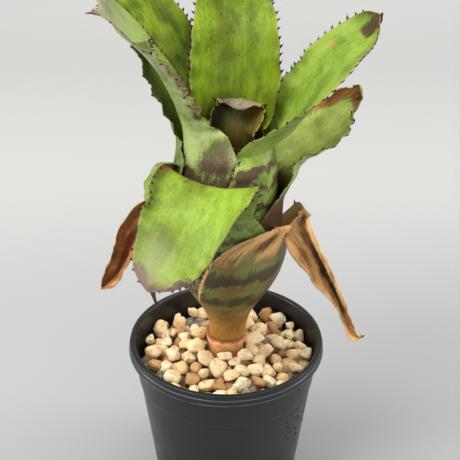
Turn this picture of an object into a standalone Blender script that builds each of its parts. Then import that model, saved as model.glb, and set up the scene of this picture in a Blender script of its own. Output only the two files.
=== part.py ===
"""Potted canistrum, a tank bromeliad, in a round nursery pot filled with pumice.

Metres, +Z up. The origin is the middle of the pot's flat underside. Seen from the front, the viewer
stands on the -Y side and +X is to the right. Leaves are placed by azimuth, counted from +X towards +Y.
"""

import math
import random

import bmesh
import bpy
from mathutils import Matrix, Vector

MM = 0.001

# Pot: a 105 mm nursery pot
POT_HEIGHT = 94 * MM
RIM_RADIUS = 52.5 * MM
RIM_BAND = 6.0 * MM
MOUTH_RADIUS = 48.9 * MM
SHOULDER_RADIUS = 49.6 * MM
SHOULDER_DROP = 23.6 * MM
BODY_RADIUS = 47.0 * MM
FOOT_RADIUS = 38.2 * MM
MOUTH_BAND = 7 * MM
MOUTH_TAPER = 0.4 * MM
EDGE = 0.6 * MM
WALL = 1.4 * MM
FLOOR = 2.0 * MM
POT_SIDES = 48
DRAIN_HOLES = 8
DRAIN_RADIUS = 3.2 * MM
DRAIN_RING = 29 * MM

# Pumice
SOIL_LEVEL = POT_HEIGHT - 5 * MM
SOIL_DROP = 7 * MM
BED_DEPTH = 3 * MM
BED_SIDES = 36
PEBBLES = 82
PEBBLE_SIZE = (3.7 * MM, 5.7 * MM)
PEBBLE_SEED = 11
PEBBLE_TRIES = 9000
PEBBLE_REACH = 1.25
PEBBLE_SPACING = 0.72

# Stem: the short trunk that the leaves grow from
STEM_RADIUS = 10.6 * MM
ROOT_DEPTH = 30 * MM
ROOT_INSET = 1.6 * MM
STEM_SIDES = 16
# The stub's outline: millimetres out from STEM_RADIUS and up from SOIL_LEVEL
STUB = [(-1.6, -2.4), (0, -1.6), (0.4, 1), (0, 4), (-1.2, 5.6), (-0.8, 8)]
CORE_TOP = 6 * MM
CLEARANCE = 0.35 * MM

# Leaves
LEAF_THICKNESS = 0.65 * MM
LAYER_PITCH = 1.65 * MM
TOOTH_PITCH = 6.0 * MM
TOOTH_LENGTH = 2.0 * MM
TOOTH_FOOT = 0.45  # share of the pitch that a tooth's foot takes
TOOTH_POINT = 0.39
TOOTHED_SHEATH_ROWS = 3
LEAST_TOOTHED_WIDTH = 3 * MM
SHEATH_LEVELS = (14, 18, 22, 26, 30, 34, 38, 43, 48, 55, 63, 71, 79, 87, 95, 103, 111, 119)
TIP_WIDTH = 0.9 * MM
GREEN = (0.3, 0.46, 0.1)
OLIVE = (0.28, 0.27, 0.12)
DRY = (0.48, 0.29, 0.13)
UNROLL_LENGTH = 22 * MM
PATH_STEPS = 200

# Outer radius of the rosette's urn by height above the pumice, in millimetres
URN = [(0, 11.0), (13, 10.9), (20, 11.6), (28, 15.4), (35, 20.2), (46, 26.6), (54, 30.2), (64, 32.0),
       (80, 33.6), (96, 34.6), (110, 34.0), (122, 31.4), (135, 29.0), (150, 27.5)]

# Each leaf: azimuth in degrees, layer counted from the outside, root and collar heights above the
# pumice, the half angles that its sheath wraps at root, middle and collar, the length of its rounded
# tip, then the blade's keys beyond the collar: out, side, up and half width in millimetres, and the
# half angle of its cupped cross-section in degrees. A root is one of SHEATH_LEVELS.
LEAVES = {
    "leaf_young": dict(
        azimuth=40, layer=8, inset=7, lean=(4.5, 0), root=48, collar=118, wrap=(120, 120, 120), tip=8, columns=8,
        colour=OLIVE,
        keys=[(9, -1, 128, 20, 110), (9, -1, 138, 15, 90), (8, -1, 143, 9, 60)]),
    "leaf_back": dict(
        azimuth=88, layer=7, root=43, collar=128, wrap=(150, 110, 66), tip=30, columns=8,
        keys=[(23, -2, 142, 20.5, 54), (28, -3, 157, 23.0, 28), (34, -4, 178, 22.0, 14),
              (43, -4, 204, 20.0, 12), (56, -4, 228, 14.0, 12)]),
    "leaf_left": dict(
        azimuth=208, layer=6, root=38, collar=120, wrap=(150, 120, 80), tip=16,
        keys=[(28, 0, 138, 23.5, 66), (36, 0, 159, 21, 68), (48, 0, 179, 17.5, 70),
              (66, 0, 198, 11, 60)]),
    "leaf_right": dict(
        azimuth=12, layer=5, root=34, collar=122, wrap=(150, 128, 84), tip=16,
        keys=[(30, 0, 135, 23, 58), (38, 0, 148, 22, 32), (52, 0, 163, 20, 24),
              (65, 0, 176, 15, 20), (74, 0, 182, 8, 20)]),
    "leaf_back_left": dict(
        azimuth=148, layer=4, root=30, collar=108, wrap=(150, 108, 62), tip=30,
        keys=[(29, 0, 124, 20, 54), (35, 0, 146, 22.5, 32), (42, 0, 170, 21, 20),
              (56, 0, 196, 18, 16), (72, 0, 214, 12, 16)]),
    "leaf_right_low": dict(
        azimuth=22, layer=3, root=26, collar=98, wrap=(150, 112, 66), tip=14,
        keys=[(35.5, 0, 111, 22, 48), (48, 0, 118, 24.5, 30), (61, 0, 126, 22, 24),
              (73, 0, 132, 14, 24)]),
    "leaf_front": dict(
        azimuth=240, layer=2, root=22, collar=96, wrap=(150, 104, 54), tip=12,
        keys=[(31, 4, 109, 27, 36), (38, 7, 111, 26.5, 16), (46, 7, 101, 24.5, 6),
              (56, 3, 84, 20.5, 6), (64, -1, 67, 13, 8)]),
    "leaf_left_dead": dict(
        azimuth=175, layer=1, root=18, collar=70, wrap=(150, 116, 60), tip=12, colour=DRY,
        keys=[(37, 0, 82, 20, 60), (45, 0, 76, 13, 80), (52, 0, 60, 11, 90),
              (58, 0, 44, 9, 90), (65, 0, 30, 6, 80)]),
    "leaf_right_dead": dict(
        azimuth=350, layer=0, root=14, collar=72, wrap=(145, 116, 90), tip=8, columns=12,
        colour=DRY,
        keys=[(34.5, 0, 79, 22, 44), (37, 0, 72, 17, 50), (38, 0, 60, 13, 80),
              (44, 0, 45, 10.5, 96), (54, 0, 30, 8, 104), (65, 0, 19, 6.5, 80), (72, 0, 15, 5, 50)]),
}


def clear_scene():
    for obj in list(bpy.data.objects):
        bpy.data.objects.remove(obj, do_unlink=True)


def new_collection(name):
    collection = bpy.data.collections.new(name)
    bpy.context.scene.collection.children.link(collection)
    return collection


def between(a, b, share):
    return a + (b - a) * share


def smoothstep(low, high, value):
    share = min(1.0, max(0.0, (value - low) / (high - low)))
    return share * share * (3 - 2 * share)


def urn_radius(height):
    """Radius of the urn's outer surface at a height above the pumice."""
    height = height / MM
    if height <= URN[0][0]:
        return URN[0][1] * MM
    for (low, r_low), (high, r_high) in zip(URN, URN[1:]):
        if height <= high:
            return between(r_low, r_high, (height - low) / (high - low)) * MM
    return URN[-1][1] * MM


def sheath_radius(leaf, height):
    """Radius of a sheath's middle surface: one layer of the urn, or further in by the leaf's inset."""
    return urn_radius(height) - (leaf["layer"] + 0.5) * LAYER_PITCH - leaf.get("inset", 0) * MM


def wrap_angle(wrap, share):
    """Half angle of a sheath, from root (share 0) to collar (share 1), on a parabola through three values."""
    root, middle, collar = wrap
    return math.radians(root * (1 - share) * (1 - 2 * share) + middle * 4 * share * (1 - share)
                        + collar * share * (2 * share - 1))


def catmull_rom(keys, where):
    """Value at a place between keys, each a list of numbers; the ends are repeated."""
    span = min(int(where), len(keys) - 2)
    t = where - span
    a, b = keys[max(span - 1, 0)], keys[span]
    c, d = keys[span + 1], keys[min(span + 2, len(keys) - 1)]
    return [0.5 * (2 * q + (r - p) * t + (2 * p - 5 * q + 4 * r - s) * t * t
                   + (3 * q - p - 3 * r + s) * t ** 3) for p, q, r, s in zip(a, b, c, d)]


def blade_path(leaf):
    """Even steps from collar to tip, each (out, side, up, half width, cup, reach), and the length."""
    collar = leaf["collar"] * MM
    below = collar - 10 * MM
    cup = math.radians(leaf["wrap"][2])
    radius = sheath_radius(leaf, collar)
    keys = [[sheath_radius(leaf, below), 0, below, radius * cup, cup],
            [radius, 0, collar, radius * cup, cup]]
    for out, side, up, half_width, cup_deg in leaf["keys"]:
        keys.append([out * MM, side * MM, up * MM, half_width * MM, math.radians(cup_deg)])
    fine = [catmull_rom(keys, 1 + (len(keys) - 2) * i / PATH_STEPS) for i in range(PATH_STEPS + 1)]
    reach = [0.0]
    for p, q in zip(fine, fine[1:]):
        reach.append(reach[-1] + math.dist(p[:3], q[:3]))
    rows = max(4, round(reach[-1] / TOOTH_PITCH))
    path = []
    place = 0
    for row in range(rows + 1):
        wanted = reach[-1] * row / rows
        while place < PATH_STEPS - 1 and reach[place + 1] < wanted:
            place += 1
        share = (wanted - reach[place]) / max(reach[place + 1] - reach[place], 1e-9)
        path.append([between(a, b, share) for a, b in zip(fine[place], fine[place + 1])] + [wanted])
    return path, reach[-1]


def sheath_sections(leaf):
    """Cross-sections of the sheath: (middle point, side, inward, half width, cup)."""
    root, collar = leaf["root"] * MM, leaf["collar"] * MM
    sections = []
    for level in SHEATH_LEVELS:
        height = level * MM
        if not root <= height < collar - 3 * MM:
            continue
        share = (height - root) / (collar - root)
        radius = sheath_radius(leaf, height)
        cup = wrap_angle(leaf["wrap"], share)
        sections.append((Vector((radius, 0, SOIL_LEVEL + height)), Vector((0, 1, 0)), Vector((-1, 0, 0)),
                         radius * cup, cup))
    return sections


def blade_sections(leaf):
    """Cross-sections of the blade, whose plane turns from level at the collar to square across the midrib."""
    path, length = blade_path(leaf)
    tip = leaf["tip"] * MM
    sections = []
    for row, (out, side, up, half_width, cup, reach) in enumerate(path):
        before, after = path[max(row - 1, 0)], path[min(row + 1, len(path) - 1)]
        along = (Vector(after[:3]) - Vector(before[:3])).normalized()
        across = Vector((0, 1, 0))
        across = (across - along * across.dot(along)).normalized()
        forward = Vector((0, 0, 1)).lerp(along, smoothstep(0, UNROLL_LENGTH, reach)).normalized()
        inward = forward.cross(across).normalized()
        left = length - reach
        if left < tip:
            share = 1 - left / tip
            half_width = max(half_width * math.sqrt(max(0.0, 1 - share * share)), TIP_WIDTH)
        sections.append((Vector((out, side, SOIL_LEVEL + up)), across, inward, half_width, cup))
    return sections


def section_point(section, v):
    """The point at v across a section, from -1 to 1."""
    middle, across, inward, half_width, cup = section
    if abs(cup) < 1e-4:
        return middle + across * (half_width * v)
    radius = half_width / cup
    return middle + across * (radius * math.sin(v * cup)) + inward * (radius * (1 - math.cos(v * cup)))


def leaf_grid(mesh, leaf, sections):
    """A row of vertices across each section."""
    columns = leaf.get("columns", 10)
    turn = Matrix.Rotation(math.radians(leaf["azimuth"]), 3, "Z")
    lean = Vector((*leaf.get("lean", (0, 0)), 0)) * MM
    grid = []
    for section in sections:
        height = section[0].z - SOIL_LEVEL
        shift = lean * smoothstep(leaf["root"] * MM, leaf["collar"] * MM, height)
        grid.append([mesh.verts.new(turn @ section_point(section, 2 * c / columns - 1) + shift)
                     for c in range(columns + 1)])
    return grid


def fill_cell(mesh, low, high, c):
    """Two triangles between two rows, their diagonal leaning towards the midrib."""
    if c < (len(low) - 1) / 2:
        mesh.faces.new((low[c], low[c + 1], high[c + 1]))
        mesh.faces.new((low[c], high[c + 1], high[c]))
    else:
        mesh.faces.new((low[c], low[c + 1], high[c]))
        mesh.faces.new((low[c + 1], high[c + 1], high[c]))


def toothed_cell(mesh, low, high, first):
    """The cell at one margin, with a tooth on the margin that points a little towards the tip."""
    rim_low, in_low = (low[0], low[1]) if first else (low[-1], low[-2])
    rim_high, in_high = (high[0], high[1]) if first else (high[-1], high[-2])
    foot = mesh.verts.new(rim_low.co.lerp(rim_high.co, TOOTH_FOOT))
    outward = (rim_low.co - in_low.co).normalized()
    point = mesh.verts.new(rim_low.co.lerp(rim_high.co, TOOTH_POINT) + outward * TOOTH_LENGTH)
    faces = [(rim_low, in_low, foot), (foot, in_low, in_high), (foot, in_high, rim_high), (rim_low, foot, point)]
    for face in faces:
        mesh.faces.new(face if first else face[::-1])


def leaf_mesh(name, leaf):
    """One open sheet, all triangles, with teeth along both margins of the blade."""
    sheath = sheath_sections(leaf)
    sections = sheath + blade_sections(leaf)
    mesh = bmesh.new()
    grid = leaf_grid(mesh, leaf, sections)
    for row, (low, high) in enumerate(zip(grid, grid[1:])):
        toothed = row >= len(sheath) - TOOTHED_SHEATH_ROWS and sections[row + 1][3] > LEAST_TOOTHED_WIDTH
        last = len(low) - 2
        for c in range(last + 1):
            if toothed and c in (0, last):
                toothed_cell(mesh, low, high, c == 0)
            else:
                fill_cell(mesh, low, high, c)
    data = bpy.data.meshes.new(name)
    mesh.to_mesh(data)
    mesh.free()
    return data


def make_leaf(name, leaf, collection, material):
    obj = bpy.data.objects.new(name, leaf_mesh(name, leaf))
    collection.objects.link(obj)
    obj.data.materials.append(material)
    thick = obj.modifiers.new("thickness", "SOLIDIFY")
    thick.thickness = LEAF_THICKNESS
    thick.offset = 0
    obj.data.shade_smooth()
    return obj


def make_material(name, colour, roughness=0.6):
    material = bpy.data.materials.new(name)
    material.use_nodes = True
    shader = material.node_tree.nodes["Principled BSDF"]
    shader.inputs["Base Color"].default_value = (*colour, 1)
    shader.inputs["Roughness"].default_value = roughness
    return material


def turned(name, profile, collection, material, steps=POT_SIDES):
    """A closed profile of (radius, height), turned about Z."""
    mesh = bpy.data.meshes.new(name)
    mesh.from_pydata([(r, 0, z) for r, z in profile],
                     [(i, i + 1) for i in range(len(profile) - 1)], [])
    obj = bpy.data.objects.new(name, mesh)
    collection.objects.link(obj)
    screw = obj.modifiers.new("turn", "SCREW")
    screw.steps = screw.render_steps = steps
    screw.use_merge_vertices = True
    screw.merge_threshold = 0.00001
    obj.data.materials.append(material)
    return obj


def make_pot(collection, material):
    """Floor and wall, a shallow step below the shoulder, and a rim band that stands out."""
    top, step = POT_HEIGHT, POT_HEIGHT - SHOULDER_DROP
    profile = [(0, FLOOR), (FOOT_RADIUS - WALL, FLOOR), (BODY_RADIUS - WALL, step),
               (MOUTH_RADIUS - MOUTH_TAPER, top - MOUTH_BAND), (MOUTH_RADIUS, top - EDGE),
               (MOUTH_RADIUS + EDGE, top), (RIM_RADIUS - EDGE, top), (RIM_RADIUS, top - EDGE),
               (RIM_RADIUS, top - RIM_BAND), (RIM_RADIUS - EDGE, top - RIM_BAND - EDGE),
               (SHOULDER_RADIUS, top - RIM_BAND - 1.5 * EDGE), (BODY_RADIUS + EDGE, step + EDGE / 2),
               (BODY_RADIUS, step - EDGE / 2), (FOOT_RADIUS, EDGE), (FOOT_RADIUS - EDGE, 0), (0, 0)]
    return turned("pot", profile, collection, material)


def cut_drain_holes(pot, cutters):
    """Round holes through the pot's floor, in a ring."""
    mesh = bmesh.new()
    for hole in range(DRAIN_HOLES):
        turn = 2 * math.pi * hole / DRAIN_HOLES
        place = Matrix.Translation((DRAIN_RING * math.cos(turn), DRAIN_RING * math.sin(turn), FLOOR / 2))
        bmesh.ops.create_cone(mesh, cap_ends=True, segments=12, radius1=DRAIN_RADIUS, radius2=DRAIN_RADIUS,
                              depth=3 * FLOOR, matrix=place)
    data = bpy.data.meshes.new("drain_cutter")
    mesh.to_mesh(data)
    mesh.free()
    cutter = bpy.data.objects.new("drain_cutter", data)
    cutter.hide_render = True
    cutter.display_type = "WIRE"
    cutters.objects.link(cutter)
    boolean = pot.modifiers.new("drain", "BOOLEAN")
    boolean.operation = "DIFFERENCE"
    boolean.solver = "EXACT"
    boolean.object = cutter


def surface_height(radius):
    """Height of the pumice bed under its top pebbles: a low dome."""
    share = min(1.0, radius / (MOUTH_RADIUS - 2 * MM))
    return SOIL_LEVEL - BED_DEPTH - (SOIL_DROP - BED_DEPTH) * share ** 2


def wall_radius(height):
    """Inner radius of the pot at a height."""
    shoulder = POT_HEIGHT - SHOULDER_DROP
    if height < shoulder:
        return between(FOOT_RADIUS, BODY_RADIUS, (height - FLOOR) / (shoulder - FLOOR)) - WALL
    share = (height - shoulder) / (SHOULDER_DROP - MOUTH_BAND)
    return between(BODY_RADIUS - WALL, MOUTH_RADIUS - MOUTH_TAPER, share)


def make_bed(material, collection):
    """The body of the fill, with a hole for the root."""
    hole = STEM_RADIUS - ROOT_INSET + CLEARANCE
    foot = FLOOR + CLEARANCE
    top = surface_height(MOUTH_RADIUS)
    shoulder = POT_HEIGHT - SHOULDER_DROP
    profile = [(0, SOIL_LEVEL - ROOT_DEPTH), (hole, SOIL_LEVEL - ROOT_DEPTH), (hole, surface_height(hole))]
    for radius in (20 * MM, 30 * MM, 38 * MM):
        profile.append((radius, surface_height(radius)))
    profile += [(wall_radius(top) - CLEARANCE, top), (wall_radius(shoulder) - CLEARANCE, shoulder),
                (wall_radius(foot) - CLEARANCE, foot), (0, foot)]
    return turned("pumice", profile, collection, material, BED_SIDES)


def scatter_pebbles(rng):
    """Places for the top pebbles: (middle, size), apart from each other, the stem and the wall."""
    places = []
    for _ in range(PEBBLE_TRIES):
        if len(places) == PEBBLES:
            break
        size = rng.uniform(*PEBBLE_SIZE)
        radius = (MOUTH_RADIUS - 2 * MM) * math.sqrt(rng.random())
        turn = rng.uniform(0, 2 * math.pi)
        height = surface_height(radius) + rng.uniform(0.1, 0.55) * size
        reach = PEBBLE_REACH * size
        if radius + reach > wall_radius(height) or radius - reach < STEM_RADIUS:
            continue
        middle = Vector((radius * math.cos(turn), radius * math.sin(turn), height))
        if all((middle - other).length > PEBBLE_SPACING * (size + near) for other, near in places):
            places.append((middle, size))
    return places


def pebble_mesh(rng, size):
    """A rounded, uneven stone: the hull of a dented sphere."""
    mesh = bmesh.new()
    bmesh.ops.create_icosphere(mesh, subdivisions=1, radius=1)
    stretch = Vector((rng.uniform(0.85, 1.15), rng.uniform(0.75, 1.0), rng.uniform(0.65, 0.9))) * size
    for vertex in mesh.verts:
        vertex.co = vertex.co * rng.uniform(0.86, 1.08) * stretch
    hull = bmesh.ops.convex_hull(mesh, input=mesh.verts)
    bmesh.ops.delete(mesh, geom=[v for v in hull["geom_interior"] if isinstance(v, bmesh.types.BMVert)],
                     context="VERTS")
    data = bpy.data.meshes.new("pebble")
    mesh.to_mesh(data)
    mesh.free()
    return data


def make_fill(collection, material):
    """The bed and its top pebbles as one body."""
    rng = random.Random(PEBBLE_SEED)
    bed = make_bed(material, collection)
    stones = new_collection("pebbles")
    for middle, size in scatter_pebbles(rng):
        stone = bpy.data.objects.new("pebble", pebble_mesh(rng, size))
        turn = Matrix.Rotation(rng.uniform(0, 2 * math.pi), 4, "Z")
        tilt = Matrix.Rotation(rng.uniform(-0.5, 0.5), 4, "X")
        stone.matrix_world = Matrix.Translation(middle) @ turn @ tilt
        stones.objects.link(stone)
    unite(bed, stones)
    return bed


def unite(bed, stones):
    """One applied union of the bed and every stone; the stones are then removed."""
    join = bed.modifiers.new("pebbles", "BOOLEAN")
    join.operation = "UNION"
    join.solver = "EXACT"
    join.operand_type = "COLLECTION"
    join.collection = stones
    bpy.context.view_layer.update()
    graph = bpy.context.evaluated_depsgraph_get()
    joined = bpy.data.meshes.new_from_object(bed.evaluated_get(graph))
    bed.modifiers.clear()
    bed.data = joined
    for stone in list(stones.objects):
        bpy.data.objects.remove(stone, do_unlink=True)
    bpy.data.collections.remove(stones)


def core_radius(leaf, height):
    """Radius of the core inside a leaf's sheath."""
    return sheath_radius(leaf, height) - 0.5 * LAYER_PITCH - 0.5 * MM


def make_stem(collection, material):
    """Root, ringed stub and a stepped core: each leaf's sheath starts from a step."""
    plug = STEM_RADIUS - ROOT_INSET
    bottom = SOIL_LEVEL - ROOT_DEPTH + CLEARANCE
    profile = [(0, bottom), (plug - 1 * MM, bottom), (plug, bottom + 1 * MM)]
    profile += [(STEM_RADIUS + out * MM, SOIL_LEVEL + up * MM) for out, up in STUB]
    leaves = sorted(LEAVES.values(), key=lambda leaf: leaf["root"])
    for leaf in leaves:
        step = leaf["root"] * MM - CLEARANCE
        outside = sheath_radius(leaf, step) + 0.5 * LEAF_THICKNESS
        profile += [(outside, SOIL_LEVEL + step), (core_radius(leaf, step), SOIL_LEVEL + step)]
    radius, height = profile[-1]
    profile += [(radius - 1.5 * MM, height + CORE_TOP), (0, height + CORE_TOP)]
    return turned("stem", profile[::-1], collection, material, STEM_SIDES)


def main():
    clear_scene()
    parts = new_collection("potted_canistrum")
    pot = make_pot(parts, make_material("charcoal_plastic", (0.05, 0.053, 0.056), 0.45))
    cut_drain_holes(pot, new_collection("cutters"))
    make_fill(parts, make_material("pumice_stone", (0.72, 0.58, 0.38), 0.9))
    make_stem(parts, make_material("stem_skin", (0.5, 0.24, 0.12), 0.4))
    for name, leaf in LEAVES.items():
        make_leaf(name, leaf, parts, make_material(name + "_skin", leaf.get("colour", GREEN)))


main()
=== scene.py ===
"""Looks for the potted canistrum: spiny strap leaves wrapped into an urn, pumice and a nursery pot.

Metres, +Z up, in the CAD model's frame. The viewer stands on the -Y side and +X is to the right.
Every leaf is grown from the same layers, blade keys and widths as its CAD solid, in finer steps.
"""

import math
import random

import bmesh
import bpy
import numpy as np
from mathutils import Matrix, Vector, noise


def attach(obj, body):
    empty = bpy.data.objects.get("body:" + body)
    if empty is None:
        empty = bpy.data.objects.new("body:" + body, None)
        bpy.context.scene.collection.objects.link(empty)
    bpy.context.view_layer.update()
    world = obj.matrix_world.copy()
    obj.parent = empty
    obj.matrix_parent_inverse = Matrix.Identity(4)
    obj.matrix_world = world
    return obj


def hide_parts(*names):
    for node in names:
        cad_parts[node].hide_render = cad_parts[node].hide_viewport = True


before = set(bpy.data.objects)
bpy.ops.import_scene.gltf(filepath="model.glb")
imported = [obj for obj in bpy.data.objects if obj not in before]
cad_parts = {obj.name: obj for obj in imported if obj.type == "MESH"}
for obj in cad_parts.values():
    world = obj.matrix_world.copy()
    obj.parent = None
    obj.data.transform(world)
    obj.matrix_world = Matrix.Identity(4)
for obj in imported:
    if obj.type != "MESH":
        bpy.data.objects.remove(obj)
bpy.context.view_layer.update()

MM = 0.001

# Pot
POT_HEIGHT = 94 * MM
RIM_RADIUS = 52.5 * MM
RIM_BAND = 6.0 * MM
MOUTH_RADIUS = 48.9 * MM
SHOULDER_RADIUS = 49.6 * MM
SHOULDER_DROP = 23.6 * MM
BODY_RADIUS = 47.0 * MM
FOOT_RADIUS = 38.2 * MM
MOUTH_BAND = 7 * MM
MOUTH_TAPER = 0.4 * MM
EDGE = 0.6 * MM
WALL = 1.4 * MM
FLOOR = 2.0 * MM
DRAIN_HOLES = 8
DRAIN_RADIUS = 3.2 * MM
DRAIN_RING = 29 * MM
DROPS = 90

# Pumice and stem
SOIL_LEVEL = POT_HEIGHT - 5 * MM
SOIL_DROP = 7 * MM
BED_DEPTH = 3 * MM
ROOT_DEPTH = 30 * MM
ROOT_INSET = 1.6 * MM
STEM_RADIUS = 10.6 * MM
STUB = [(-1.6, -2.4), (-1.2, -1.6), (-1.1, 1), (-0.8, 3), (-0.2, 5), (0, 7), (-0.4, 8.7)]
CORE_TOP = 6 * MM
CLEARANCE = 0.35 * MM

# Leaves
LAYER_PITCH = 1.65 * MM
UNROLL_LENGTH = 22 * MM
TIP_WIDTH = 0.7 * MM
PATH_STEPS = 200
ROW_STEP = 1.2 * MM
COLUMNS = 30
SPINE_EVERY = 3  # rows from one spine to the next, 3.6 mm
SPINE_LENGTH = 2.7 * MM
TOOTHED_SHEATH = 20 * MM
LEAF_THICKNESS = 0.95 * MM
MARGIN_THINNING = 0.5
SOFTENING = 20  # times each row is averaged with the next ones, so that sheath and blade run into each other
URN = [(0, 11.0), (13, 10.9), (20, 11.6), (28, 15.4), (35, 20.2), (46, 26.6), (54, 30.2), (64, 32.0),
       (80, 33.6), (96, 34.6), (110, 34.0), (122, 31.4), (135, 29.0), (150, 27.5)]


def between(a, b, share):
    return a + (b - a) * share


def smoothstep(low, high, value):
    share = min(1.0, max(0.0, (value - low) / (high - low)))
    return share * share * (3 - 2 * share)


def srgb(red, green, blue):
    """A display colour, 0 to 255, as the linear colour that a shader takes."""
    return tuple((c / 255 / 12.92) if c <= 10 else ((c / 255 + 0.055) / 1.055) ** 2.4
                 for c in (red, green, blue)) + (1.0,)


# Geometry of the leaves

def catmull_rom(keys, where):
    """Value at a place between keys, each a list of numbers; the ends are repeated."""
    span = min(int(where), len(keys) - 2)
    t = where - span
    a, b = keys[max(span - 1, 0)], keys[span]
    c, d = keys[span + 1], keys[min(span + 2, len(keys) - 1)]
    return [0.5 * (2 * q + (r - p) * t + (2 * p - 5 * q + 4 * r - s) * t * t
                   + (3 * q - p - 3 * r + s) * t ** 3) for p, q, r, s in zip(a, b, c, d)]


def urn_radius(height):
    """Radius of the urn's outer surface at a height above the pumice, smoothed between the CAD's points."""
    height = height / MM
    if height >= URN[-1][0]:
        return URN[-1][1] * MM
    total = 0.0
    for shift, weight in ((-3, 0.25), (0, 0.5), (3, 0.25)):
        level = min(max(height + shift, 0), URN[-1][0])
        for (low, r_low), (high, r_high) in zip(URN, URN[1:]):
            if level <= high:
                total += weight * between(r_low, r_high, (level - low) / (high - low))
                break
    return total * MM


def sheath_radius(leaf, height):
    return urn_radius(height) - (leaf["layer"] + 0.5) * LAYER_PITCH - leaf.get("inset", 0) * MM


def wrap_angle(wrap, share):
    """Half angle of a sheath, from root to collar, on a parabola through three values."""
    root, middle, collar = wrap
    return math.radians(root * (1 - share) * (1 - 2 * share) + middle * 4 * share * (1 - share)
                        + collar * share * (2 * share - 1))


def blade_path(leaf):
    """Even steps from collar to tip, each (out, side, up, half width, cup, reach), and the length."""
    collar = leaf["collar"] * MM
    below = collar - 10 * MM
    cup = math.radians(leaf["wrap"][2])
    radius = sheath_radius(leaf, collar)
    keys = [[sheath_radius(leaf, below), 0, below, radius * cup, cup],
            [radius, 0, collar, radius * cup, cup]]
    for out, side, up, half_width, cup_deg in leaf["keys"]:
        keys.append([out * MM, side * MM, up * MM, half_width * MM, math.radians(cup_deg)])
    fine = [catmull_rom(keys, 1 + (len(keys) - 2) * i / PATH_STEPS) for i in range(PATH_STEPS + 1)]
    reach = [0.0]
    for p, q in zip(fine, fine[1:]):
        reach.append(reach[-1] + math.dist(p[:3], q[:3]))
    rows = max(8, round(reach[-1] / ROW_STEP))
    path = []
    place = 0
    for row in range(rows + 1):
        wanted = reach[-1] * row / rows
        while place < PATH_STEPS - 1 and reach[place + 1] < wanted:
            place += 1
        share = (wanted - reach[place]) / max(reach[place + 1] - reach[place], 1e-9)
        path.append([between(a, b, share) for a, b in zip(fine[place], fine[place + 1])] + [wanted])
    return path, reach[-1]


def leaf_sections(leaf):
    """Cross-sections from root to tip: (middle, across, inward, half width, cup, place, left).

    Place is the distance along the midrib from the collar, negative in the sheath; left is what is
    left to the tip.
    """
    root, collar = leaf["root"] * MM, leaf["collar"] * MM
    path, length = blade_path(leaf)
    sections = []
    steps = round((collar - root) / ROW_STEP)
    for row in range(steps):
        share = row / steps
        height = between(root, collar, share)
        radius = sheath_radius(leaf, height)
        cup = wrap_angle(leaf["wrap"], share)
        sections.append((Vector((radius, 0, SOIL_LEVEL + height)), Vector((0, 1, 0)), Vector((-1, 0, 0)),
                         radius * cup, cup, height - collar, length))
    tip = leaf["tip"] * MM
    for row, (out, side, up, half_width, cup, reach) in enumerate(path):
        before, after = path[max(row - 1, 0)], path[min(row + 1, len(path) - 1)]
        along = (Vector(after[:3]) - Vector(before[:3])).normalized()
        across = Vector((0, 1, 0))
        across = (across - along * across.dot(along)).normalized()
        forward = Vector((0, 0, 1)).lerp(along, smoothstep(0, UNROLL_LENGTH, reach)).normalized()
        inward = forward.cross(across).normalized()
        left = length - reach
        if left < tip:
            share = 1 - left / tip
            half_width = max(half_width * math.sqrt(max(0.0, 1 - share * share)), TIP_WIDTH)
        sections.append((Vector((out, side, SOIL_LEVEL + up)), across, inward, half_width, cup, reach, left))
    return sections


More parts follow.
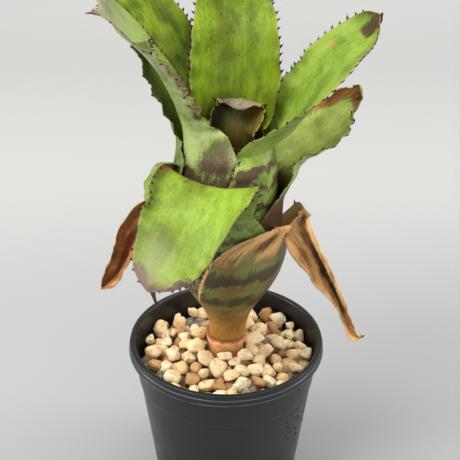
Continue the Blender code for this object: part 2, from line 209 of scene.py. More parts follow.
# Each leaf, as in the CAD part: azimuth, layer, root and collar heights, wrap, tip and blade keys.
# Places are millimetres from the collar, negative in the sheath; across runs from -1 to 1.
# ruffles: (margin, start, end, height, wavelength, phase)
# curls: (margin, start, end, degrees towards the upper face, share of the half width)
# trims: (margin, [(place, share of the half width that is left), ...])
# twist: [(place, degrees about the midrib)]; fold: [(place, sharpness)], below 1 a fold, 1 an arc
# bends: (length from the tip, degrees towards the upper face)
# marks: (kind, place, across, half length, half width, strength); kinds are band, dry, dark, pale and brown; dark is
# painted shade on pockets and flanks that lie in shadow
# tail: (length, degrees towards the upper face, radius at its root) of the point that a tip runs out into
LEAVES = {
    "leaf_young": dict(deep_brown=srgb(30, 26, 6), 
        azimuth=80, layer=8, inset=7, lean=(4.5, 1), root=48, collar=116, wrap=(120, 112, 91), tip=4,
        keys=[(11.3, 2.5, 123.2, 17.5, 88), (15.2, -0.9, 128.1, 18.4, 62.2), (17, 0, 132.5, 14, 45),
              (15.5, 0, 137.2, 12, 22), (10.5, 0, 138.8, 10.5, 8), (5.5, 0, 135.6, 8, 0)],
        ruffles=[(1, 20, 60, 1.0, 7, 0), (-1, 20, 60, 0.8, 6, 2)],
        # The brown mark, with leaf_young's near-black deep brown, is painted shade on the shadowed inside of the rolled
        # tube.
        marks=[("dark", 5, 0.7, 30, 0.45, 1.0), ("brown", 8, 0.75, 26, 0.4, 0.8)]),
    "leaf_back": dict(
        azimuth=88, layer=7, root=43, collar=128, wrap=(150, 110, 76.7), tip=30,
        keys=[(19.4, -3.2, 140.7, 24.9, 50.5), (29.3, -3.3, 164.2, 22.6, 34.4), (39.6, -1.8, 180.2, 18.4, 13.4),
              (42.4, -5, 202.8, 16.7, 13.3), (56.1, -4, 228.2, 14, 12)],
        ruffles=[(1, 0, 40, 0.5, 11, 0.5), (-1, 0, 60, 0.5, 13, 1)],
        marks=[("dark", 3, -0.35, 3, 0.16, 0.6), ("dark", 42, -0.1, 6, 0.2, 0.35), ("dark", 26, 0.1, 24, 0.45, 0.3), ("brown", 12, -0.5, 7, 0.35, 0.36), ("brown", 48, 0.1, 9, 0.5, 0.34), ("brown", 4, 0.5, 6, 0.4, 0.34)]),
    "leaf_left": dict(
        azimuth=203.9, layer=6, root=38, collar=120, wrap=(150, 120, 80), tip=10,
        keys=[(20.5, -4.5, 133.9, 18.4, 84.9), (34.8, -0.9, 165.4, 19.6, 42.4), (49.8, -5.5, 182.2, 23.5, 46.5),
              (55.9, 4.4, 191.6, 13.4, 1.4), (63, 4.2, 200.9, 6, 3.8)],
        trims=[(1, [(-10, 1), (5, 0.93), (20, 0.86), (40, 0.78), (60, 0.85), (75, 1.0)])],
        curls=[(1, 24, 54, -80, 0.34, 24)],
        ruffles=[(1, 26, 60, 1.6, 6.5, 0.4), (1, -4, 26, 0.9, 8, 0)],
        bends=[(14, -35)], tail=(4, -40, 1.6),
        marks=[("band", -6, 0.45, 6, 0.5, 0.75), ("band", 24, 0.75, 5, 0.25, 0.8), ("brown", 46, 0.9, 16, 0.24, 0.9),
               ("brown", 27, 0.92, 9, 0.2, 0.8), ("brown", 1, 0.78, 5, 0.18, 0.55), ("pale", 42, 0.52, 26, 0.07, 0.9),
               ("brown", 104, 0, 7, 2, 1.0), ("band", 82, -0.6, 7, 0.3, 0.9), ("pale", 76, -0.1, 20, 1.3, 0.72), ("brown", 52, 0.35, 16, 0.32, 0.42)]),
    "leaf_right": dict(
        azimuth=12, layer=5, root=34, collar=122, wrap=(150, 128, 84), tip=14,
        keys=[(32.2, -5.6, 130.8, 25.1, 80.2), (44, -5.5, 152.1, 23.6, 15.9), (55.5, -0.8, 161.9, 22.5, 18.8),
              (72.2, 2.9, 172.1, 17.2, 15.9), (72.6, -1.2, 181.2, 6.5, 21)],
        trims=[(-1, [(56, 1), (72, 0.8), (88, 0.55)])],
        curls=[(1, 74, 92, 40, 0.5), (-1, 74, 92, 30, 0.5)], tail=(3.5, -10, 2.6, -12),
        ruffles=[(-1, -12, 30, 0.6, 7, 0), (1, 5, 60, 0.6, 12, 0)],
        marks=[("band", -9, -0.7, 5, 0.4, 1.0), ("band", 79, 0.15, 8.5, 0.32, 1.5), ("dry", 58, 0.62, 3.5, 0.1, 0.85), ("brown", 40, 0.2, 8, 0.4, 0.28),
               ("dry", 88, 0, 3, 0.6, 0.7)]),
    "leaf_back_left": dict(gloss=0.12, 
        azimuth=148, layer=4, root=30, collar=108, wrap=(150, 108, 62), tip=30,
        keys=[(26.7, -3, 121.5, 21.1, 57.2), (35, 0.4, 148.8, 19.7, 26.6), (39.3, 1.8, 167.1, 23.9, 24.8),
              (57.9, -0.9, 192.7, 16.3, 10.9), (71.7, 0.3, 214, 12.1, 16.5)],
        ruffles=[(1, 0, 100, 0.9, 11, 0)],
        marks=[("dark", 74, -0.7, 26, 0.4, 0.55), ("dark", 34, 0.55, 26, 0.45, 0.85), ("band", 84, -0.2, 6, 0.1, 0.7)]),
    "leaf_right_low": dict(dry_depth=0.52, 
        azimuth=27, layer=3, root=26, collar=98, wrap=(150, 112, 66), tip=12,
        keys=[(40.8, 3, 103, 20.9, 75.8), (54.4, 1.5, 112.6, 24.7, 35.6), (71.6, 1.7, 126.7, 11.2, 12.3),
              (75.9, -8.4, 131.5, 16.9, 6.3)],
        curls=[(1, 48, 80, 95, 0.55), (-1, 56, 80, 50, 0.4)], bends=[(10, 50)],
        ruffles=[(-1, 5, 60, 0.8, 8, 0), (1, 30, 70, 1.2, 9, 0)],
        marks=[("band", -11, -0.86, 6, 0.14, 1.1), ("dry", 50, 0.85, 16, 0.4, 1.0), ("dry", 62, 0.1, 11, 0.9, 1.0),
               ("brown", -9, -0.3, 15, 0.8, 1.2), ("brown", -8, -0.9, 11, 0.3, 1.0)]),
    "leaf_front": dict(
        azimuth=240, layer=2, root=22, collar=96, wrap=(150, 104, 54), tip=16,
        keys=[(25.3, 2.4, 111.3, 27.8, 31.2), (35.5, 4.5, 110.2, 31.8, 22.1),
              (47.7, 5.3, 100, 23.9, 24.6), (53.8, -3.7, 78.7, 17.4, 10.3),
              (62.8, -6.3, 67.6, 17.7, 9.1)],
        curls=[(-1, -4, 38, 190, 0.32)], tail=(12, -60, 1.7, 38),
        ruffles=[(-1, 0, 60, 0.8, 8, 0), (1, 20, 70, 0.5, 9, 1)],
        marks=[("pale", 66, -0.3, 12, 0.6, 0.6), ("dry", 17, -0.82, 7, 0.16, 1.0), ("brown", 12, -0.93, 5, 0.12, 1.0), ("brown", 20, -0.1, 9, 0.4, 0.45), ("brown", 79, 0.4, 3, 0.8, 0.5), ("brown", 40, 0.5, 5, 0.2, 0.28),
               ("band", 78, -0.7, 5, 0.4, 1.0), ("band", 84, 0.2, 3.5, 0.8, 1.7), ("band", 75, 1.0, 9, 0.24, 1.8), ("dark", 84, 0.3, 3, 0.5, 0.7)]),
    "leaf_left_dead": dict(
        azimuth=175, layer=1, root=18, collar=70, wrap=(150, 116, 60), tip=5, dead=True,
        keys=[(33.2, 0.1, 78.7, 19.6, 60.2), (44.9, 1.6, 71.6, 11.8, 64.7), (49.5, 0.1, 60.8, 11.4, 64.3),
              (57.7, -1.3, 41.4, 9.9, 69.9), (66.2, 1.8, 32.6, 7.4, 67.2)],
        twist=[(0, 0), (10, -25), (24, -61.6), (80, -66.2)], fold=[(10, 1.0), (25, 0.4), (80, 0.35)],
        curls=[(-1, 20, 70, 60, 0.5)], bare=4, marks=[("brown", 45, 0.0, 32, 0.4, 0.85)]),
    "leaf_right_dead": dict(
        azimuth=350, layer=0, root=9.5, collar=74, wrap=(145, 118, 92), tip=4, dead=True,
        keys=[(33.6, 6.2, 76, 20.1, 40.3), (36.8, 3.2, 83.2, 22.7, 66), (34.3, 3.1, 79, 16.1, 72.7),
              (42.9, -2.4, 71.3, 14.8, 72.6), (52.8, 1.3, 48, 10.1, 76.5), (60.9, 3.7, 28.4, 6.2, 80.4),
              (68.8, -1.5, 13.2, 6.9, 76), (73.5, -1.2, 11.4, 4.4, 80.3)],
        twist=[(0, 0), (10, -32.1), (20, 41), (34, 89.7), (100, 62.8)], fold=[(14, 1.0), (26, 0.35), (90, 0.3)],
        bends=[(9, 80)], curls=[(1, 24, 110, 110, 0.45)], tail=(3, 60, 1.2),
        bare=26,
        marks=[("dry", -22, -1.0, 30, 0.05, 1.0), ("brown", -1, -0.64, 3, 0.11, 1.0), ("brown", -4.5, -0.84, 1.2, 0.1, 0.6), ("brown", 58, 0.04, 40, 0.3, 1.0),
               ("brown", 22, 0.35, 6, 0.25, 0.8)]),
}


def keyed(places, keys, rest=0.0):
    """A value at each place in millimetres, on straight lines between (place, value) keys."""
    if not keys:
        return np.full(len(places), rest)
    return np.interp(places / MM, [k[0] for k in keys], [k[1] for k in keys])


def window(places, start, end, ease=6):
    """1 between two places in millimetres, easing to 0 outside them."""
    rise = np.clip((places / MM - start) / ease + 1, 0, 1)
    fall = np.clip((end - places / MM) / ease + 1, 0, 1)
    share = np.minimum(rise, fall)
    return share * share * (3 - 2 * share)


def bend_tip(sections, reach, angle):
    """Bends the last stretch of a leaf about its width; a positive angle curls towards the upper face."""
    length = sections[-1][5]
    middle = sections[0][0].copy()
    bent = [sections[0]]
    for before, section in zip(sections, sections[1:]):
        share = max(0.0, 1 - (length - section[5]) / (reach * MM))
        turn = Matrix.Rotation(-math.radians(angle) * share ** 1.6, 3, section[1])
        middle = middle + turn @ (section[0] - before[0])
        bent.append((middle.copy(), section[1], turn @ section[2]) + section[3:])
    return bent


class LeafGrid:
    """Points, normals and places of one leaf's middle surface, a row for each section."""

    def __init__(self, leaf):
        self.leaf = leaf
        sections = leaf_sections(leaf)
        for reach, angle in leaf.get("bends", ()):
            sections = bend_tip(sections, reach, angle)
        self.middle = np.array([s[0] for s in sections])
        self.half = np.array([s[3] for s in sections])
        self.cup = np.array([s[4] for s in sections])
        self.place = np.array([s[5] for s in sections])
        self.left = np.array([s[6] for s in sections])
        across = np.array([s[1] for s in sections])
        inward = np.array([s[2] for s in sections])
        twist = np.radians(keyed(self.place, leaf.get("twist")))[:, None]
        self.across = across * np.cos(twist) + inward * np.sin(twist)
        self.inward = inward * np.cos(twist) - across * np.sin(twist)
        self.v = np.linspace(-1, 1, COLUMNS + 1)
        self.lay_across()
        self.blade = np.array([smoothstep(-18 * MM, 10 * MM, p) for p in self.place])

    def lay_across(self):
        """Lays each row from the midrib to both margins: an arc or a fold, trimmed and curled at its margins."""
        leaf, v = self.leaf, self.v
        shares = np.abs(v)[None, :]
        sharpness = keyed(self.place, leaf.get("fold"), 1.0)[:, None]
        angle = np.sign(v)[None, :] * self.cup[:, None] * shares ** sharpness
        for margin, start, end, degrees, width, *ease in leaf.get("curls", ()):
            reach = np.clip((v * margin - (1 - width)) / width, 0, 1)
            turn = margin * math.radians(degrees) * window(self.place, start, end, *(ease or [12]))
            angle = angle + turn[:, None] * reach[None, :] ** 1.5
        trims = np.ones((len(self.place), len(v)))
        for margin, keys in leaf.get("trims", ()):
            limit = keyed(self.place, keys)
            trims = np.where((v * margin > 0)[None, :], limit[:, None], trims)
        self.trims = trims
        step = (v[1] - v[0]) * self.half[:, None] * trims
        out, rise = step * np.cos(angle), step * np.sin(angle)
        mid = len(v) // 2
        places = []
        for move in (out, rise):
            pair = (move[:, 1:] + move[:, :-1]) / 2
            total = np.concatenate([np.zeros((len(pair), 1)), np.cumsum(pair, axis=1)], axis=1)
            places.append(total - total[:, mid:mid + 1])
        out, rise = places
        self.points = (self.middle[:, None, :] + self.across[:, None, :] * out[..., None]
                       + self.inward[:, None, :] * rise[..., None])
        for _ in range(SOFTENING):
            self.points[1:-1] = (self.points[:-2] + 2 * self.points[1:-1] + self.points[2:]) / 4
        self.normals = (self.inward[:, None, :] * np.cos(angle)[..., None]
                        - self.across[:, None, :] * np.sin(angle)[..., None])
        self.tangents = (self.across[:, None, :] * np.cos(angle)[..., None]
                         + self.inward[:, None, :] * np.sin(angle)[..., None])

    def share_left(self):
        return np.clip(self.left / max(self.leaf["tip"] * MM, 1e-6), 0, 1)

    def settle(self):
        """Turns the finished middle surface to the leaf's azimuth, with its lean, and finds its normals again."""
        leaf = self.leaf
        turn = np.array(Matrix.Rotation(math.radians(leaf["azimuth"]), 3, "Z"))
        lean = np.array([*leaf.get("lean", (0, 0)), 0]) * MM
        heights = self.middle[:, 2] - SOIL_LEVEL
        shift = np.array([smoothstep(leaf["root"] * MM, leaf["collar"] * MM, h) for h in heights])
        self.points = self.points @ turn.T + lean * shift[:, None, None]
        down = np.gradient(self.points, axis=0)
        side = np.gradient(self.points, axis=1)
        normals = np.cross(down, side)
        size = np.linalg.norm(normals, axis=2, keepdims=True)
        old = self.normals @ turn.T
        self.normals = np.where(size > 1e-12, normals / np.maximum(size, 1e-12), old)
        self.tangents = side / np.maximum(np.linalg.norm(side, axis=2, keepdims=True), 1e-12)
        self.down = down / np.maximum(np.linalg.norm(down, axis=2, keepdims=True), 1e-12)


def waves(points, size, seed):
    """Smooth noise from -1 to 1 at each point, for lumps of a size."""
    flat = points.reshape(-1, 3) / size + seed * 17.3
    return np.array([noise.noise(Vector(p)) for p in flat]).reshape(points.shape[:-1])


def leaf_coordinates(grid):
    """Across and along the leaf, laid flat, so that noise can follow its length."""
    flat = np.zeros(grid.points.shape)
    flat[..., 0] = grid.v[None, :] * grid.half[:, None]
    flat[..., 1] = grid.place[:, None]
    return flat


def shape_leaf(grid, seed):
    """Undulations, a shallow midrib, ruffled margins and crumpling, all along the sheet's normals."""
    leaf = grid.leaf
    flat = leaf_coordinates(grid)
    edge = np.abs(grid.v)[None, :]
    blade = grid.blade[:, None]
    lift = 0.5 * MM * waves(grid.points, 19 * MM, 3) * (1 - 0.4 * blade)
    lift += 0.8 * MM * waves(flat, 24 * MM, seed) * blade
    lift += 0.25 * MM * waves(flat * [1.0, 0.35, 1.0], 4 * MM, seed + 1) * blade
    lift -= 0.35 * MM * np.exp(-(flat[..., 0] / (2.2 * MM)) ** 2) * blade
    lift += 0.35 * MM * edge ** 6 * (1 - blade)
    for margin, start, end, height, wave, phase in leaf.get("ruffles", ()):
        swing = np.sin(2 * math.pi * grid.place / (wave * MM) + phase) * window(grid.place, start, end)
        lift += height * MM * swing[:, None] * np.clip(grid.v * margin, 0, 1)[None, :] ** 3
    if leaf.get("dead"):
        dead = grid.blade[:, None]
        folds = waves(flat * [1.0, 0.22, 1.0], 4.5 * MM, seed + 2)
        creases = 1 - 2 * np.abs(waves(flat * [1.0, 0.6, 1.0], 7 * MM, seed + 3))
        lift += dead * (1.0 * MM * folds + 0.95 * MM * creases + 0.35 * MM * waves(flat, 2.2 * MM, seed + 4))
    grid.points = grid.points + grid.normals * lift[..., None]
    wander = np.stack([waves(np.stack([grid.place, 0 * grid.place + side, 0 * grid.place], -1), 9 * MM, seed + 5 + side)
                       for side in (0, 1)], -1)
    rows = np.arange(len(grid.place))
    scallop = np.where(rows % SPINE_EVERY == 0, 0.22 * MM, 0.0)
    for column, side, sign in ((0, 0, -1), (-1, 1, 1)):
        push = sign * (scallop + 0.35 * MM * wander[:, side]) * grid.blade
        weight = np.clip((np.abs(grid.v) - 0.8) / 0.2, 0, 1) ** 2 * (np.sign(grid.v) == sign)
        grid.points = grid.points + grid.tangents * (push[:, None] * weight[None, :])[..., None]


def mark_strength(grid, kind):
    """How strongly the listed marks of a kind cover each point, 0 to 1."""
    total = np.zeros(grid.points.shape[:2])
    for name, place, across, length, width, strength in grid.leaf.get("marks", ()):
        if name == kind:
            far = ((grid.place[:, None] / MM - place) / length) ** 2 + ((grid.v[None, :] - across) / width) ** 2
            total = np.maximum(total, strength * np.exp(-far))
    return total


def grow_leaf(name, leaf, seed):
    """The closed skin of one leaf with its spines, as an object whose attributes steer the material."""
    grid = LeafGrid(leaf)
    shape_leaf(grid, seed)
    grid.settle()
    rows, columns = grid.points.shape[:2]
    edge = np.abs(grid.v)
    tip = grid.share_left()
    thick = LEAF_THICKNESS * leaf.get("thickness", 1.0) * (1 - MARGIN_THINNING * edge[None, :] ** 3) * (0.55 + 0.45 * tip[:, None])
    if leaf.get("dead"):
        thick = thick * 0.7
    half = thick[..., None] / 2
    upper = grid.points + grid.normals * half
    lower = grid.points - grid.normals * half
    rim_right = grid.points[:, -1] + grid.tangents[:, -1] * half[:, -1] * 0.8
    rim_left = grid.points[:, 0] - grid.tangents[:, 0] * half[:, 0] * 0.8
    ring = np.concatenate([upper, rim_right[:, None], lower[:, ::-1], rim_left[:, None]], axis=1)
    order = np.concatenate([np.arange(columns), [columns - 1], np.arange(columns)[::-1], [0]])
    face_up = np.concatenate([np.ones(columns), [0.5], np.zeros(columns), [0.5]])
    around = ring.shape[1]
    vertices = ring.reshape(-1, 3)
    index = np.arange(rows * around).reshape(rows, around)
    a, b = index[:-1], np.roll(index[:-1], -1, axis=1)
    c, d = np.roll(index[1:], -1, axis=1), index[1:]
    faces = np.stack([a, d, c, b], -1).reshape(-1, 4).tolist()
    right_rim, left_rim = columns, around - 1
    for row, flip in ((0, False), (rows - 1, True)):
        here = index[row]
        caps = [[here[k], here[k + 1], here[around - 3 - k], here[around - 2 - k]] for k in range(columns - 1)]
        caps += [[here[columns - 1], here[right_rim], here[right_rim + 1]], [here[left_rim], here[0], here[left_rim - 1]]]
        faces += [face[::-1] if flip else face for face in caps]
    flat_v = np.broadcast_to(grid.v[order][None, :], (rows, around))
    values = {
        "across": flat_v * grid.half[:, None] * grid.trims[:, order],
        "along": np.broadcast_to(grid.place[:, None], (rows, around)),
        "edge": (1 - np.abs(flat_v)) * grid.half[:, None] * grid.trims[:, order],
        "tip": np.broadcast_to((grid.left / MM)[:, None], (rows, around)),
        "blade": np.broadcast_to(grid.blade[:, None], (rows, around)),
        "foot": np.broadcast_to((grid.place - grid.place[0])[:, None] / MM, (rows, around)),
        "upper": np.broadcast_to(face_up[None, :], (rows, around)),
        "spine": np.zeros((rows, around)),
    }
    for kind in ("band", "dry", "dark", "pale", "brown"):
        values[kind] = mark_strength(grid, kind)[:, order]
    values = {key: list(np.asarray(value, float).reshape(-1)) for key, value in values.items()}
    points = vertices.tolist()
    add_spines(grid, leaf, seed, points, faces, values)
    if "tail" in leaf:
        add_tail(grid, points, faces, values, *leaf["tail"])
    return leaf_object(name, points, faces, values)


def add_spines(grid, leaf, seed, points, faces, values):
    """Hooked spines along both margins, each a curved four-sided thorn rooted in the margin."""
    rng = random.Random(seed)
    for row in range(len(grid.place)):
        for column, sign in ((0, -1), (-1, 1)):
            length = SPINE_LENGTH * rng.uniform(0.7, 1.1) * leaf.get("spines", 1.0)
            skip = rng.random() < 0.05
            bare = grid.place[row] > leaf.get("bare", 999) * MM
            if row % SPINE_EVERY or skip or bare or grid.place[row] < -TOOTHED_SHEATH or grid.half[row] < 3 * MM:
                continue
            out = grid.tangents[row, column] * sign
            up = grid.normals[row, column]
            along = grid.down[row, column]
            foot = grid.points[row, column] - out * 0.35 * MM
            start = len(points)
            for share, bend, half_long, half_thick in ((0, 0, 1.25, 0.34), (0.35, 0.12, 0.65, 0.3),
                                                       (0.7, 0.34, 0.32, 0.2)):
                middle = foot + out * length * share + along * length * bend
                for u, w in ((-1, 0), (0, 1), (1, 0), (0, -1)):
                    points.append(list(middle + along * half_long * u * MM + up * half_thick * w * MM))
            points.append(list(foot + out * length + along * length * 0.75))
            for ring in (0, 4):
                for k in range(4):
                    n = (k + 1) % 4
                    quad = [start + ring + k, start + ring + n, start + ring + 4 + n, start + ring + 4 + k]
                    faces.append(quad if sign > 0 else quad[::-1])
            for k in range(4):
                last = [start + 8 + k, start + 8 + (k + 1) % 4, start + 12]
                faces.append(last if sign > 0 else last[::-1])
            base = [start + 3, start + 2, start + 1, start]
            faces.append(base if sign > 0 else base[::-1])
            for key in values:
                if key == "spine":
                    values[key] += [0.25] * 4 + [0.9] * 4 + [1.0] * 5
                else:
                    place = {"across": sign * grid.half[row], "along": grid.place[row], "edge": 0.0,
                             "tip": grid.left[row] / MM, "blade": grid.blade[row], "upper": 0.5, "foot": 90.0}.get(key, 0.0)
                    values[key] += [place] * 13


def add_tail(grid, points, faces, values, length, bend, radius, aside=0):
    """The withered point that the tip runs out into: a bent cone rooted inside the last rows."""
    middle = grid.points.shape[1] // 2
    here, ahead = Vector(grid.points[-4, middle]), Vector(grid.down[-4, middle]).normalized()
    side, up = Vector(grid.tangents[-4, middle]).normalized(), Vector(grid.normals[-4, middle]).normalized()
    aim = Matrix.Rotation(math.radians(aside), 3, up)
    ahead, side = aim @ ahead, aim @ side
    start, sides, steps = len(points), 8, 8
    for step in range(steps):
        share = step / (steps - 1)
        width = radius * MM * (1 - 0.85 * share) * (1 + 0.12 * math.sin(9 * share))
        for k in range(sides):
            turn = 2 * math.pi * k / sides
            points.append(list(here + side * width * math.cos(turn) + up * width * min(0.65, 0.15 + 1.5 * share) * math.sin(turn)))
        swing = Matrix.Rotation(-math.radians(bend) / steps, 3, side)
        ahead, up = swing @ ahead, swing @ up
        here = here + ahead * (length + 3) * MM / steps
    for step in range(steps - 1):
        for k in range(sides):
            ring, n = start + step * sides, (k + 1) % sides
            faces.append([ring + k, ring + n, ring + sides + n, ring + sides + k])
    faces.append([start + k for k in range(sides)][::-1])
    faces.append([start + (steps - 1) * sides + k for k in range(sides)])
    for key in values:
        rest = {"dry": 1.0, "brown": 1.0, "blade": 1.0, "foot": 90.0, "along": grid.place[-1], "edge": 0.01}.get(key, 0.0)
        values[key] += [rest] * (sides * steps)


def leaf_object(name, points, faces, values):
    mesh = bpy.data.meshes.new(name)
    mesh.from_pydata(points, [], [[int(i) for i in f] for f in faces])
    for key, value in values.items():
        mesh.attributes.new(key, "FLOAT", "POINT").data.foreach_set("value", np.array(value, np.float32))
    mesh.update()
    clean = bmesh.new()
    clean.from_mesh(mesh)
    bmesh.ops.recalc_face_normals(clean, faces=clean.faces)
    clean.to_mesh(mesh)
    clean.free()
    mesh.shade_smooth()
    obj = bpy.data.objects.new(name, mesh)
    bpy.context.scene.collection.objects.link(obj)
    return obj


# Materials

class Nodes:
    """Short calls to add and join nodes in one tree."""

    def __init__(self, tree):
        self.tree = tree
        self.column = 0

    def add(self, kind, settings=None, **inputs):
        node = self.tree.nodes.new(kind)
        node.location = (self.column * 40, -self.column % 7 * 120)
        self.column += 1
        for key, value in (settings or {}).items():
            setattr(node, key, value)
        for key, value in inputs.items():
            self.set(node, key, value)
        return node

    def set(self, node, key, value):
        name = key.replace("_", " ") if isinstance(key, str) else key
        socket = node.inputs[int(key[1:])] if key[0] == "i" and key[1:].isdigit() else node.inputs[name]
        if isinstance(value, bpy.types.NodeSocket):
            self.tree.links.new(value, socket)
        else:
            socket.default_value = value

    def attribute(self, name):
        return self.add("ShaderNodeAttribute", {"attribute_name": name}).outputs["Fac"]

    def math(self, operation, a, b=0.0, c=0.0, clamp=False):
        return self.add("ShaderNodeMath", {"operation": operation, "use_clamp": clamp}, i0=a, i1=b, i2=c).outputs[0]

    def ramp(self, value, low, high, out_low=0.0, out_high=1.0):
        node = self.add("ShaderNodeMapRange", {"interpolation_type": "SMOOTHSTEP"}, Value=value)
        for key, setting in (("From Min", low), ("From Max", high), ("To Min", out_low), ("To Max", out_high)):
            self.set(node, key, setting)
        return node.outputs["Result"]

    def mix(self, share, a, b, blend="MIX"):
        node = self.add("ShaderNodeMix", {"data_type": "RGBA", "blend_type": blend, "clamp_factor": True})
        for place, value in ((0, share), (6, a), (7, b)):
            if isinstance(value, bpy.types.NodeSocket):
                self.tree.links.new(value, node.inputs[place])
            else:
                node.inputs[place].default_value = value
        return node.outputs[2]

    def combine(self, x, y, z):
        return self.add("ShaderNodeCombineXYZ", X=x, Y=y, Z=z).outputs[0]

    def noise(self, vector, scale, detail=2.0, roughness=0.5, distortion=0.0):
        return self.add("ShaderNodeTexNoise", {"noise_dimensions": "3D"}, Vector=vector, Scale=scale,
                        Detail=detail, Roughness=roughness, Distortion=distortion).outputs["Fac"]

    def group(self, tree, **inputs):
        node = self.tree.nodes.new("ShaderNodeGroup")
        node.node_tree = tree
        for key, value in inputs.items():
            self.set(node, key, value)
        return node


def effect(name, inputs, outputs):
    """An empty node group with named inputs (with their values) and outputs."""
    tree = bpy.data.node_groups.new(name, "ShaderNodeTree")
    kinds = {"float": "NodeSocketFloat", "color": "NodeSocketColor", "vector": "NodeSocketVector"}
    for label, kind, value in inputs:
        socket = tree.interface.new_socket(name=label, in_out="INPUT", socket_type=kinds[kind])
        socket.default_value = value
    for label, kind in outputs:
        tree.interface.new_socket(name=label, in_out="OUTPUT", socket_type=kinds[kind])
    nodes = Nodes(tree)
    entry = tree.nodes.new("NodeGroupInput")
    leave = tree.nodes.new("NodeGroupOutput")
    return tree, nodes, entry.outputs, leave


def leaf_veins_effect():
    """Fine veins that run the length of a leaf, and a height for their ridges."""
    tree, n, given, out = effect("leaf_veins", [("Spacing", "float", 0.0006), ("Seed", "float", 0.0)],
                                 [("Veins", "float"), ("Streaks", "float"), ("Height", "float")])
    across, along = n.attribute("across"), n.attribute("along")
    drift = n.noise(n.combine(n.math("MULTIPLY", across, 40.0), n.math("MULTIPLY", along, 25.0), given["Seed"]), 1.0)
    shifted = n.math("ADD", across, n.math("MULTIPLY", n.math("SUBTRACT", drift, 0.5), 0.0008))
    phase = n.math("MULTIPLY", n.math("DIVIDE", shifted, given["Spacing"]), 2 * math.pi)
    ridge = n.math("MULTIPLY_ADD", n.math("SINE", phase), 0.5, 0.5)
    strength = n.noise(n.combine(n.math("MULTIPLY", across, 900.0), n.math("MULTIPLY", along, 30.0), given["Seed"]), 1.0)
    veins = n.math("MULTIPLY", ridge, n.ramp(strength, 0.3, 0.7, 0.25, 1.0))
    streaks = n.noise(n.combine(n.math("MULTIPLY", across, 760.0), n.math("MULTIPLY", along, 30.0), given["Seed"]),
                      1.0, 4.0, 0.7)
    n.tree.links.new(veins, out.inputs["Veins"])
    n.tree.links.new(streaks, out.inputs["Streaks"])
    n.tree.links.new(n.math("ADD", veins, n.math("MULTIPLY", strength, 0.6)), out.inputs["Height"])
    return tree


def blotches_effect():
    """Soft patches, stretched along or across the leaf."""
    tree, n, given, out = effect(
        "soft_blotches", [("Size", "float", 0.01), ("Stretch", "float", 1.0), ("Low", "float", 0.4),
                          ("High", "float", 0.6), ("Detail", "float", 3.0), ("Seed", "float", 0.0)],
        [("Mask", "float")])
    x = n.math("DIVIDE", n.attribute("across"), given["Size"])
    y = n.math("DIVIDE", n.attribute("along"), n.math("MULTIPLY", given["Size"], given["Stretch"]))
    node = n.add("ShaderNodeTexNoise", Vector=n.combine(x, y, given["Seed"]), Scale=1.0, Detail=given["Detail"],
                 Roughness=0.55)
    n.tree.links.new(n.ramp(node.outputs["Fac"], given["Low"], given["High"]), out.inputs["Mask"])
    return tree


def bands_effect():
    """Purple-brown bands across a sheath, ragged along the veins and dusted with grey."""
    tree, n, given, out = effect(
        "purple_bands", [("Length", "float", 0.014), ("Amount", "float", 0.5), ("Placed", "float", 0.0),
                         ("Seed", "float", 0.0)], [("Mask", "float")])
    across, along = n.attribute("across"), n.attribute("along")
    ragged = n.noise(n.combine(n.math("MULTIPLY", across, 800.0), n.math("MULTIPLY", along, 60.0), given["Seed"]),
                     1.0, 3.0, 0.6)
    zigzag = n.noise(n.combine(n.math("MULTIPLY", across, 110.0), n.math("MULTIPLY", along, 30.0), given["Seed"]),
                     1.0, 2.0, 0.6)
    patch = n.noise(n.combine(n.math("MULTIPLY", across, 70.0), n.math("MULTIPLY", along, 90.0), given["Seed"]),
                    1.0, 2.0, 0.5)
    shifted = n.math("ADD", along, n.math("MULTIPLY", n.math("SUBTRACT", ragged, 0.5), 0.007))
    shifted = n.math("ADD", shifted, n.math("MULTIPLY", n.math("SUBTRACT", zigzag, 0.5), 0.012))
    wave = n.math("SINE", n.math("MULTIPLY", n.math("DIVIDE", shifted, given["Length"]), 2 * math.pi))
    grain = n.noise(n.combine(n.math("MULTIPLY", across, 1900.0), n.math("MULTIPLY", along, 1300.0), 0.0), 1.0, 2.0)
    total = n.math("MULTIPLY_ADD", wave, 0.24, 0.5)
    total = n.math("ADD", total, n.math("MULTIPLY", n.math("SUBTRACT", patch, 0.5), 1.7))
    total = n.math("ADD", total, n.math("MULTIPLY", n.math("SUBTRACT", grain, 0.5), 0.7))
    total = n.math("ADD", total, n.math("MULTIPLY", n.math("SUBTRACT", given["Amount"], 0.5), 0.6))
    total = n.math("ADD", total, n.math("MULTIPLY", given["Placed"], 0.34))
    n.tree.links.new(n.ramp(total, 0.42, 0.72), out.inputs["Mask"])
    return tree


def scurf_effect():
    """Grey scales that dust the underside of a bromeliad leaf: tiny dots, thinner in places."""
    tree, n, given, out = effect("grey_scurf", [("Amount", "float", 0.5), ("Seed", "float", 0.0)],
                                 [("Mask", "float"), ("Height", "float")])
    across, along = n.attribute("across"), n.attribute("along")
    place = n.combine(n.math("MULTIPLY", across, 1500.0), n.math("MULTIPLY", along, 1500.0), given["Seed"])
    dots = n.add("ShaderNodeTexVoronoi", {"feature": "F1"}, Vector=place, Scale=1.0).outputs["Distance"]
    dot = n.ramp(dots, 0.15, 0.5, 1.0, 0.0)
    patch = n.noise(n.combine(n.math("MULTIPLY", across, 60.0), n.math("MULTIPLY", along, 160.0), given["Seed"]),
                    1.0, 3.0, 0.6)
    amount = n.math("MULTIPLY", n.ramp(patch, 0.3, 0.7), given["Amount"])
    mask = n.math("MULTIPLY", n.math("MULTIPLY_ADD", dot, 0.6, 0.4), amount, clamp=True)
    n.tree.links.new(mask, out.inputs["Mask"])
    n.tree.links.new(n.math("MULTIPLY", dot, amount), out.inputs["Height"])
    return tree


